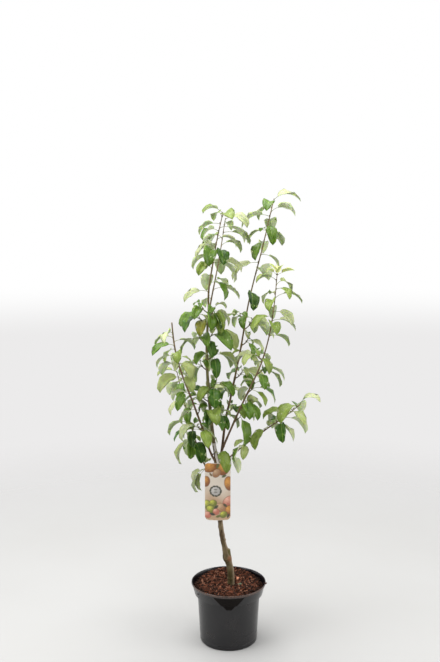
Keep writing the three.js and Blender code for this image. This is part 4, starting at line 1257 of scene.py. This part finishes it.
stems = build_mesh("side_stems", stem_points, stem_faces, [stem_wood, shoot_skin], stem_kind)
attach(stems, "root")
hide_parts(*[spray["name"] for spray in stem_sprays])

leaf_keys = ("x", "y", "z", "turn", "length", "width", "stalk", "lift", "droop", "roll", "fold",
             "young")
leaves = {key: np.array([leaf[key] for leaf in grown], float) for key in leaf_keys}
stalk_rows = np.linspace(0, 1, 7)
stalk_lines = leaf_frame(leaves, leaves["stalk"][:, None] * stalk_rows)[0]
stalk_wide = blend(STALK_RADII, stalk_rows) + STALK_SWELL * np.exp(-stalk_rows * SWELL_FADE)
stalk_wide = stalk_wide[None] * (1 - YOUNG_SLIM * leaves["young"][:, None])
stalk_points, stalk_faces = tubes(stalk_lines, stalk_wide, 5)


def leaf_group():
    """Living leaf: a colour mottled a little lighter and darker, and faint relief."""
    group, given, result = new_group(
        "leaf_skin", {"Colour": "Color"},
        {"Colour": "Color", "Height": "Float", "Roughness": "Float"})
    cells = noise(group, *LEAF_CELLS)
    clouds = map_range(group, noise(group, *LEAF_CLOUDS), 0.3, 0.7)
    dark = mix_colours(group, 1.0, given["Colour"], LEAF_DARKER, "MULTIPLY")
    light = mix_colours(group, 0.1, given["Colour"], LEAF_LIGHTER)
    feed(result, "Colour", mix_colours(group, clouds, dark, light))
    feed(result, "Height", cells)
    feed(result, "Roughness", map_range(group, cells, 0.3, 0.7, *LEAF_ROUGHNESS))
    return group


leaf_skin = leaf_group()


def leaf_material(name, colour, depth=0.0006):
    """Leaf or stalk of one colour, with the living leaf's mottle, sheen and relief."""
    material, tree, shader = new_material(name, tone(*colour), 0.4)
    for socket, value in (("Specular IOR Level", LEAF_GLOSS), ("Subsurface Weight", LEAF_GLOW),
                          ("Subsurface Radius", LEAF_GLOW_REACH),
                          ("Subsurface Scale", LEAF_GLOW_SCALE)):
        shader.inputs[socket].default_value = value
    skin = add_node(tree, "ShaderNodeGroup", {"node_tree": leaf_skin}, Colour=tone(*colour))
    feed(shader, "Base Color", skin.outputs["Colour"])
    feed(shader, "Roughness", skin.outputs["Roughness"])
    add_bump(tree, shader, skin.outputs["Height"], 0.25, depth)
    return material


stalks = build_mesh("leaf_stalks", stalk_points, stalk_faces,
                    [leaf_material("stalk_green", (128, 136, 70))])
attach(stalks, "root")
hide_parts(*[spray["name"] for spray in sprays])

bud_rows = np.linspace(0, 1, 6)
bud_turn = leaves["turn"] + BUD_ASIDE
bud_way = np.stack([BUD_OUT * np.cos(bud_turn), BUD_OUT * np.sin(bud_turn),
                    BUD_UP + 0 * bud_turn], -1)
bud_foot = np.stack([leaves["x"], leaves["y"], leaves["z"] + BUD_RISE], -1)
bud_foot = bud_foot + bud_way * np.array([BUD_AWAY, BUD_AWAY, 1])
bud_lines = bud_foot[:, None] + bud_way[:, None] * (BUD_LENGTH * bud_rows)[None, :, None]
bud_wide = BUD_RADIUS * np.sin(np.pi * blend(BUD_SPAN, bud_rows)) ** BUD_FULLNESS
bud_points, bud_faces = tubes(bud_lines, np.tile(bud_wide, (len(bud_lines), 1)), 6)
bud_material = bark_material("bud_scales", (84, 58, 44), (98, 72, 52), 0.7, 1.5, 0.45, 0.0006)
buds = build_mesh("buds", bud_points, bud_faces, [bud_material])
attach(buds, "root")
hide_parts(*[spray["name"] for spray in sprays])

# Leaf blades
# Glossy oval leaves that arch over and fold up along a pale rib, paler and duller beneath.
# Inner leaves low in the crown are painted deep green as shade, outer and the lowest ones paler
# as painted light, and the newest nearly cream.

BLADE_ROWS = np.array([0, 0.06, 0.18, 0.34, 0.52, 0.7, 0.86, 1.0])
RIB_BEND = 0.05
EDGE_WAVE = 0.13
HALF_SWELL = 0.07
TOP_TONES = [(30, 72, 2), (48, 94, 6), (82, 116, 24), (124, 142, 62), (154, 162, 104),
             (182, 186, 148)]
# One leaf that has turned olive, and the newest ones round their limb's tip
OLIVE_TONE, OLIVE_PLACE = (132, 128, 42), (-92, -20, 1200)
NEWEST_TONE, NEWEST_PLACE, NEWEST_REACH = (228, 228, 172), (171, -92, 1400), 90
UNDER_TONES = [(172, 182, 146), (208, 214, 184)]
RIB_TONE = (150, 170, 90)
# How pale a leaf's top is, from 0 (deep green) to 1 (pale): the middle and spread of a drawn
# freshness, and what is added: painted shade inside the lower part, painted light by each
# millimetre outwards and where leaves hang below the others, a darker tone low on the right, a
# paler one at the top, freshness in youth, and painted sheen on leaves that point across the view,
# painted shade on those that point along it
FRESH_DRAW = 0.62, 0.21
PAINTED_INSIDE_SHADE = -0.36
PAINTED_OUTWARD_LIGHT = 0.0006
PAINTED_LOW_LIGHT = 0.22
FRESH_LOW_RIGHT = -0.12
FRESH_TOP = 0.04
FRESH_YOUNG = 0.1
PAINTED_SHEEN_ACROSS = 0.2
# Where those parts of the foliage lie: their places across and their heights, and how far they
# fade from there
INNER_X, INNER_REACH = -50, 130
INNER_LEVEL, INNER_FADE = 1100, 300
HANGING_LEVEL, HANGING_FADE = 790, 120
TOP_LEVEL, TOP_FADE = 1300, 300
LOW_RIGHT_X, LOW_RIGHT_LEVEL = 140, 1000


def leaf_blades(leaf):
    """Closed folded blades of many leaves, as rings of eight points along each.

    A ring goes over the top from edge to edge by way of two half-blades and the rib's two
    sides, and back beneath the rib. The edges rise by the fold and by a slow wave, the halves
    swell a little, and the rib sweeps aside by the square of the share.
    """
    share = BLADE_ROWS
    distance = leaf["stalk"][:, None] + leaf["length"][:, None] * share
    centre, side, normal = leaf_frame(leaf, distance)
    half = np.maximum(blade_half(leaf, share), 0.9 - 0.7 * share)[..., None]
    stray = np.sin(leaf["turn"] * 9.7 + leaf["length"])[:, None, None]
    bend = stray * RIB_BEND * leaf["length"][:, None, None]
    centre = centre + side * bend * share[:, None] ** 2
    fold = leaf["fold"][:, None, None]
    flat, rise = side * half * np.cos(fold), normal * half * np.sin(fold)
    wave = normal * half * EDGE_WAVE * np.sin(13 * share[None, :, None] + 5 * stray)
    back_wave = normal * half * EDGE_WAVE * np.sin(12 * share[None, :, None] + 8 * stray + 2)
    swell = normal * half * HALF_SWELL
    rib = side * (0.8 - 0.6 * share)[None, :, None]
    keel = normal * (0.9 - 0.7 * share)[None, :, None]
    left, right = centre + flat + rise + wave, centre - flat + rise + back_wave
    ring = [left, (left + centre) / 2 + swell, centre + rib, centre - rib,
            (right + centre) / 2 + swell, right, centre - rib - keel, centre + rib - keel]
    points = np.stack(ring, 2)
    count, rows, ring_size = points.shape[:3]
    faces = grid_faces(rows, ring_size)
    last = (rows - 1) * ring_size
    start_cap = [(7, 2, 1, 0), (7, 6, 3, 2), (6, 5, 4, 3)]
    end_cap = [(last, last + 1, last + 2, last + 7), (last + 2, last + 3, last + 6, last + 7),
               (last + 3, last + 4, last + 5, last + 6)]
    faces = np.vstack([faces, start_cap, end_cap])
    kinds = np.concatenate([np.tile([0, 0, 1, 0, 0, 2, 2, 2], rows - 1), [1] * 6])
    all_faces = faces[None] + rows * ring_size * np.arange(count)[:, None, None]
    return points.reshape(-1, 3), all_faces.reshape(-1, 4), np.tile(kinds, (count, 1))


def leaves_from(place):
    """Distance of each leaf's root from a place."""
    return np.sqrt(sum(np.square(leaves[key] - at) for key, at in zip("xyz", place)))


blade_points, blade_faces, blade_kinds = leaf_blades(leaves)
tone_draw = np.random.default_rng(33)
leaf_x, leaf_z, leaf_count = leaves["x"], leaves["z"], len(leaves["x"])
inner = np.clip(1.5 - np.hypot(leaf_x - INNER_X, leaves["y"] * 1.2) / INNER_REACH, 0, 1)
inner = inner * np.clip((INNER_LEVEL - leaf_z) / INNER_FADE, 0, 1)
hanging = np.clip((HANGING_LEVEL - leaf_z) / HANGING_FADE, 0, 1)
# A leaf's tone: drawn freshness, painted shade inside the lower crown, painted light outwards and
# low down, painted sheen by direction
fresh_and_lit = tone_draw.normal(*FRESH_DRAW, leaf_count) + PAINTED_INSIDE_SHADE * inner * (1 - hanging)
fresh_and_lit += PAINTED_OUTWARD_LIGHT * (np.abs(leaf_x + 40) - 60) + PAINTED_LOW_LIGHT * hanging
fresh_and_lit += FRESH_LOW_RIGHT * (leaf_x > LOW_RIGHT_X) * (leaf_z < LOW_RIGHT_LEVEL)
fresh_and_lit += FRESH_TOP * np.clip((leaf_z - TOP_LEVEL) / TOP_FADE, 0, 1)
fresh_and_lit += FRESH_YOUNG * leaves["young"] + PAINTED_SHEEN_ACROSS * np.cos(2 * leaves["turn"])

# Numbers of the materials: tops by freshness with painted light and shade, then olive, newest, two
# undersides and the rib
top_count = len(TOP_TONES)
top_tone = np.clip((fresh_and_lit * top_count).astype(int), 0, top_count - 1)
top_tone[np.argmin(leaves_from(OLIVE_PLACE))] = top_count
under_tone = top_count + 2 + (tone_draw.uniform(0, 1, leaf_count) < 0.5)
rib_tone = np.full(leaf_count, top_count + 4)
leaf_tones = np.stack([top_tone, rib_tone, under_tone], -1)
leaf_tones[(leaves["young"] == 1) & (leaves_from(NEWEST_PLACE) < NEWEST_REACH)] = top_count + 1
blade_tones = np.take_along_axis(leaf_tones, blade_kinds, 1)
blade_materials = [leaf_material(f"leaf_top_{k}", colour)
                   for k, colour in enumerate([*TOP_TONES, OLIVE_TONE, NEWEST_TONE])]
blade_materials += [leaf_material(f"leaf_under_{k}", colour, 0.0012)
                    for k, colour in enumerate(UNDER_TONES)]
blade_materials.append(leaf_material("leaf_rib", RIB_TONE))
blades = build_mesh("leaf_blades", blade_points, blade_faces, blade_materials,
                    blade_tones.ravel())
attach(blades, "root")
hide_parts(*[spray["name"] for spray in sprays])

# Label
# A glossy printed card, a little bent, with rounded corners. It hangs in front of the trunk
# from a pale plastic strap, which closes in a ring round the leader above the fork.

LABEL_BEND = 120
LABEL_THICK = 0.9
LABEL_CORNER = 15
LABEL_WAVE, LABEL_WAVE_LENGTH = 0.7, 40
CARD_COLUMNS = 84
CARD_ROWS = 190
STRAP_THICK = 1.2
STRAP_ROWS, RING_SIDES = 30, 40
# Tones of printed fruits: the lit side, the shaded side and the rim
AMBER = (226, 158, 66), (132, 72, 22), (96, 56, 26)
TAN = (214, 178, 140), (158, 112, 74), (112, 76, 50)
PEACH = (240, 184, 160), (186, 104, 82), (112, 62, 46)
LIME = (212, 212, 76), (108, 116, 26), (64, 66, 26)
PAPER = (214, 210, 204), (176, 172, 168), (120, 116, 100)
PRINTED_FRUITS = [
    # across and up in card widths, half-sizes, turn, tones
    (0.22, 2.08, 0.3, 0.2, 0.3, AMBER), (0.72, 2.02, 0.22, 0.26, -0.4, AMBER),
    (0.46, 1.84, 0.18, 0.13, 0.9, TAN), (0.93, 1.42, 0.17, 0.27, 0.2, AMBER),
    (0.06, 1.5, 0.14, 0.2, -0.2, AMBER), (0.9, 0.74, 0.22, 0.16, 0.7, PEACH),
    (0.62, 0.5, 0.2, 0.16, -0.5, TAN), (0.95, 0.36, 0.16, 0.2, 0.1, AMBER),
    (0.1, 0.6, 0.15, 0.17, 0.0, LIME), (0.32, 0.66, 0.15, 0.13, 0.5, LIME),
    (0.24, 0.42, 0.17, 0.14, -0.4, LIME), (0.44, 0.34, 0.12, 0.12, 0.0, PEACH),
    (0.72, 0.22, 0.14, 0.12, 0.4, LIME), (0.12, 0.2, 0.13, 0.12, 0.2, PEACH),
    (0.42, 1.14, 0.2, 0.19, 0.0, PAPER),
]
FRUIT_RIM = 0.07
FRUIT_MOTTLE = 0.14
PRINTED_LEAVES = [
    # across and up in card widths, size, turn, tone
    (0.44, 0.52, 0.13, 0.7, (52, 60, 30)), (0.78, 0.58, 0.12, 2.4, (66, 62, 34)),
    (0.3, 0.24, 0.13, 2.9, (40, 44, 28)), (0.52, 0.16, 0.12, 0.3, (92, 98, 36)),
    (0.9, 0.16, 0.11, 1.2, (54, 52, 30)), (0.5, 2.12, 0.13, 1.2, (94, 100, 46)),
    (0.74, 1.72, 0.12, 0.4, (72, 84, 50)), (0.24, 1.78, 0.1, 2.2, (112, 84, 40)),
    (0.42, 1.2, 0.09, 0.0, (132, 130, 124)), (0.42, 1.1, 0.09, 0.0, (132, 130, 124)),
]
# A wreath of small dark leaves round the pale disc
PRINTED_LEAVES += [(0.42 + 0.2 * math.cos(turn), 1.14 + 0.19 * math.sin(turn), 0.085, turn + 1.3,
                    (42, 48, 28)) for turn in np.arange(0, 2 * math.pi, 0.6)]
GROUND_TONES = (188, 154, 120), (226, 214, 198)
BORDER_TONE = (226, 214, 196)
BORDER_PLACE, BORDER_HALF = (0.5, 1.112), (0.485, 1.098)
BACK_TONE = (222, 214, 202)
PRINT_SOFT = 0.02
PRINT_WEAR = 0.12


def label_wave(height):
    """How far the card bows back at a height: a slow sine wave."""
    return LABEL_WAVE * np.sin((height - LABEL_BOTTOM) / LABEL_WAVE_LENGTH)


def label_card():
    """A bent card: strips from its low to its high edge on the front, and back behind.

    Across it the strips lie on a cylinder, closest near its sides. Their ends follow quarter
    circles at the corners, and a last strip of no thickness closes each side.
    """
    half = LABEL_WIDTH / 2
    across = np.linspace(-1, 1, CARD_COLUMNS)
    across = half * (1.5 * across - 0.5 * across ** 3)
    across = np.concatenate([[-half - 0.2], across, [half + 0.2]])
    thick = np.full(CARD_COLUMNS + 2, LABEL_THICK / 2)
    thick[[0, -1]] = 0
    past = np.clip(np.abs(across) - half + LABEL_CORNER, 0, LABEL_CORNER)
    inset = LABEL_CORNER - np.sqrt(LABEL_CORNER ** 2 - past ** 2)
    share = np.linspace(0, 1, CARD_ROWS)
    share = np.concatenate([share, share[::-1]])
    front = np.where(np.arange(2 * CARD_ROWS) < CARD_ROWS, 1, -1)
    low, high = LABEL_BOTTOM + inset[:, None], LABEL_TOP - inset[:, None]
    height = low + (high - low) * share[None]
    angle = across[:, None] / LABEL_BEND
    radius = LABEL_BEND - LABEL_THICK / 2 + front[None] * thick[:, None]
    x = LABEL_X + radius * np.sin(angle)
    y = LABEL_FRONT + LABEL_BEND - radius * np.cos(angle) + label_wave(height)
    return np.stack([x, y, height], -1), grid_faces(CARD_COLUMNS + 2, 2 * CARD_ROWS)


def print_colours(x, z, front):
    """Printed design in card widths: round fruits and leaves over a cream and tan ground.

    Each area is where a distance is under 0, and its edge is soft. A fruit is an ellipse,
    shaded away from its lit side, and a leaf is what two circles share.
    """
    a = (x - LABEL_X) / LABEL_WIDTH + 0.5
    b = (z - LABEL_BOTTOM) / LABEL_WIDTH

    def gradient(share, low, high):
        share = np.clip(share, 0, 1)[:, None]
        return np.array(tone(*low))[:3] * (1 - share) + share * np.array(tone(*high))[:3]

    def lay(distance, shade):
        cover = np.clip(0.5 - distance / PRINT_SOFT, 0, 1)[:, None]
        return colour * (1 - cover) + cover * np.array(shade)[..., :3]

    def turned_axes(place, rise, turn):
        p, q = a - place, b - rise
        return p * math.cos(turn) + q * math.sin(turn), q * math.cos(turn) - p * math.sin(turn)

    colour = gradient(1.6 * (b - 0.7) + 0.2 * np.sin(7 * a + 3 * b), *GROUND_TONES)
    for place, rise, wide, tall, turn, (lit_tone, shaded_tone, rim_tone) in PRINTED_FRUITS:
        along, aside = turned_axes(place, rise, turn)
        away = np.hypot(along / wide, aside / tall)
        lit = np.hypot(a - place + 0.06, b - rise - 0.08) / max(wide, tall)
        lit = lit + FRUIT_MOTTLE * np.sin(40 * a + 9 * np.sin(17 * b))
        colour = lay((away - 1 - FRUIT_RIM) * wide, tone(*rim_tone))
        colour = lay((away - 1) * wide, gradient(lit, lit_tone, shaded_tone))
    for place, rise, size, turn, shade in PRINTED_LEAVES:
        along, aside = turned_axes(place, rise, turn)
        colour = lay(np.hypot(along, np.abs(aside) + 0.7 * size) - 1.1 * size, tone(*shade))
    border = np.maximum(np.abs(a - BORDER_PLACE[0]) - BORDER_HALF[0],
                        np.abs(b - BORDER_PLACE[1]) - BORDER_HALF[1])
    colour = lay(-border, tone(*BORDER_TONE))
    colour[~front] = tone(*BACK_TONE)[:3]
    return colour


print_material, print_tree, print_shader = new_material("printed_card", tone(205, 190, 160), 0.24)
print_layer = add_node(print_tree, "ShaderNodeAttribute", {"attribute_name": "print"})
print_wear = multiply(print_tree, noise(print_tree, 500, 3), PRINT_WEAR)
feed(print_shader, "Base Color", mix_colours(
    print_tree, print_wear, print_layer.outputs["Color"], tone(226, 218, 206)))
add_bump(print_tree, print_shader, noise(print_tree, 60, 2), 0.15, 0.001)
card = build_mesh("label_card", *label_card(), [print_material])
card_place = np.zeros(len(card.data.vertices) * 3, np.float32)
card.data.vertices.foreach_get("co", card_place)
card_x, card_y, card_z = card_place.reshape(-1, 3).T * 1000.0
card_radius = np.hypot(card_x - LABEL_X, LABEL_FRONT + LABEL_BEND + label_wave(card_z) - card_y)
card_print = print_colours(card_x, card_z, card_radius > LABEL_BEND - LABEL_THICK / 2 - 0.01)
print_values = card.data.color_attributes.new("print", "FLOAT_COLOR", "POINT")
print_values.data.foreach_set(
    "color", np.hstack([card_print, np.ones((len(card_print), 1))]).astype(np.float32).ravel())
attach(card, "root")
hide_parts("label")


def strap_band(line, width, thick, rows):
    """A flat band along a line: at each row a long rectangle with its corners cut off."""
    centre = curve_points(line, np.linspace(0, 1, rows))
    w, d = width / 2, thick / 2
    outline = np.array([(-w, -0.4 * d), (-0.9 * w, -d), (0.9 * w, -d), (w, -0.4 * d),
                        (w, 0.4 * d), (0.9 * w, d), (-0.9 * w, d), (-w, 0.4 * d)])
    points = centre[:, None] + np.pad(outline, [(0, 0), (0, 1)])
    return capped(points, centre), grid_faces(rows + 2, len(outline))


leader_share = at_height(limbs["trunk"], STRAP_LOOP)
leader = curve_points(TRUNK_LINE, leader_share)
ring_radius = float(limb_radius(limbs["trunk"], 0, STRAP_LOOP)) + STRAP_THICK + GAP
strap_foot = (LABEL_X, LABEL_FRONT + 1.2, LABEL_TOP - 12)
strap_top = (leader[0] + 2, leader[1] - ring_radius + 0.6, leader[2] + STRAP_WIDTH / 2)
strap_middle = [blend(ends, share) for ends, share in zip(
    zip(strap_foot, strap_top), (0.6, 0.5, 0.55))]
strap_line = [strap_foot, (LABEL_X, LABEL_FRONT + 0.5, LABEL_TOP + 4), strap_middle, strap_top]
ring_inside, ring_half = ring_radius - STRAP_THICK, STRAP_WIDTH / 2
ring_profile = softened([
    (ring_inside, -ring_half), (ring_radius, -ring_half), (ring_radius, ring_half),
    (ring_inside, ring_half), (ring_inside, -ring_half)], 0.4)
ring_points, ring_faces = turned(ring_profile, RING_SIDES)
strap_parts = [strap_band(strap_line, STRAP_WIDTH, STRAP_THICK, STRAP_ROWS),
               (ring_points + leader, ring_faces)]
strap_points, strap_faces, _ = joined(strap_parts)
strap_plastic = grainy_material("strap_plastic", (186, 178, 172), (228, 222, 218), 0.3, (120, 3))
strap = build_mesh("label_strap", strap_points, strap_faces, [strap_plastic])
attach(strap, "root")
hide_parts("label")
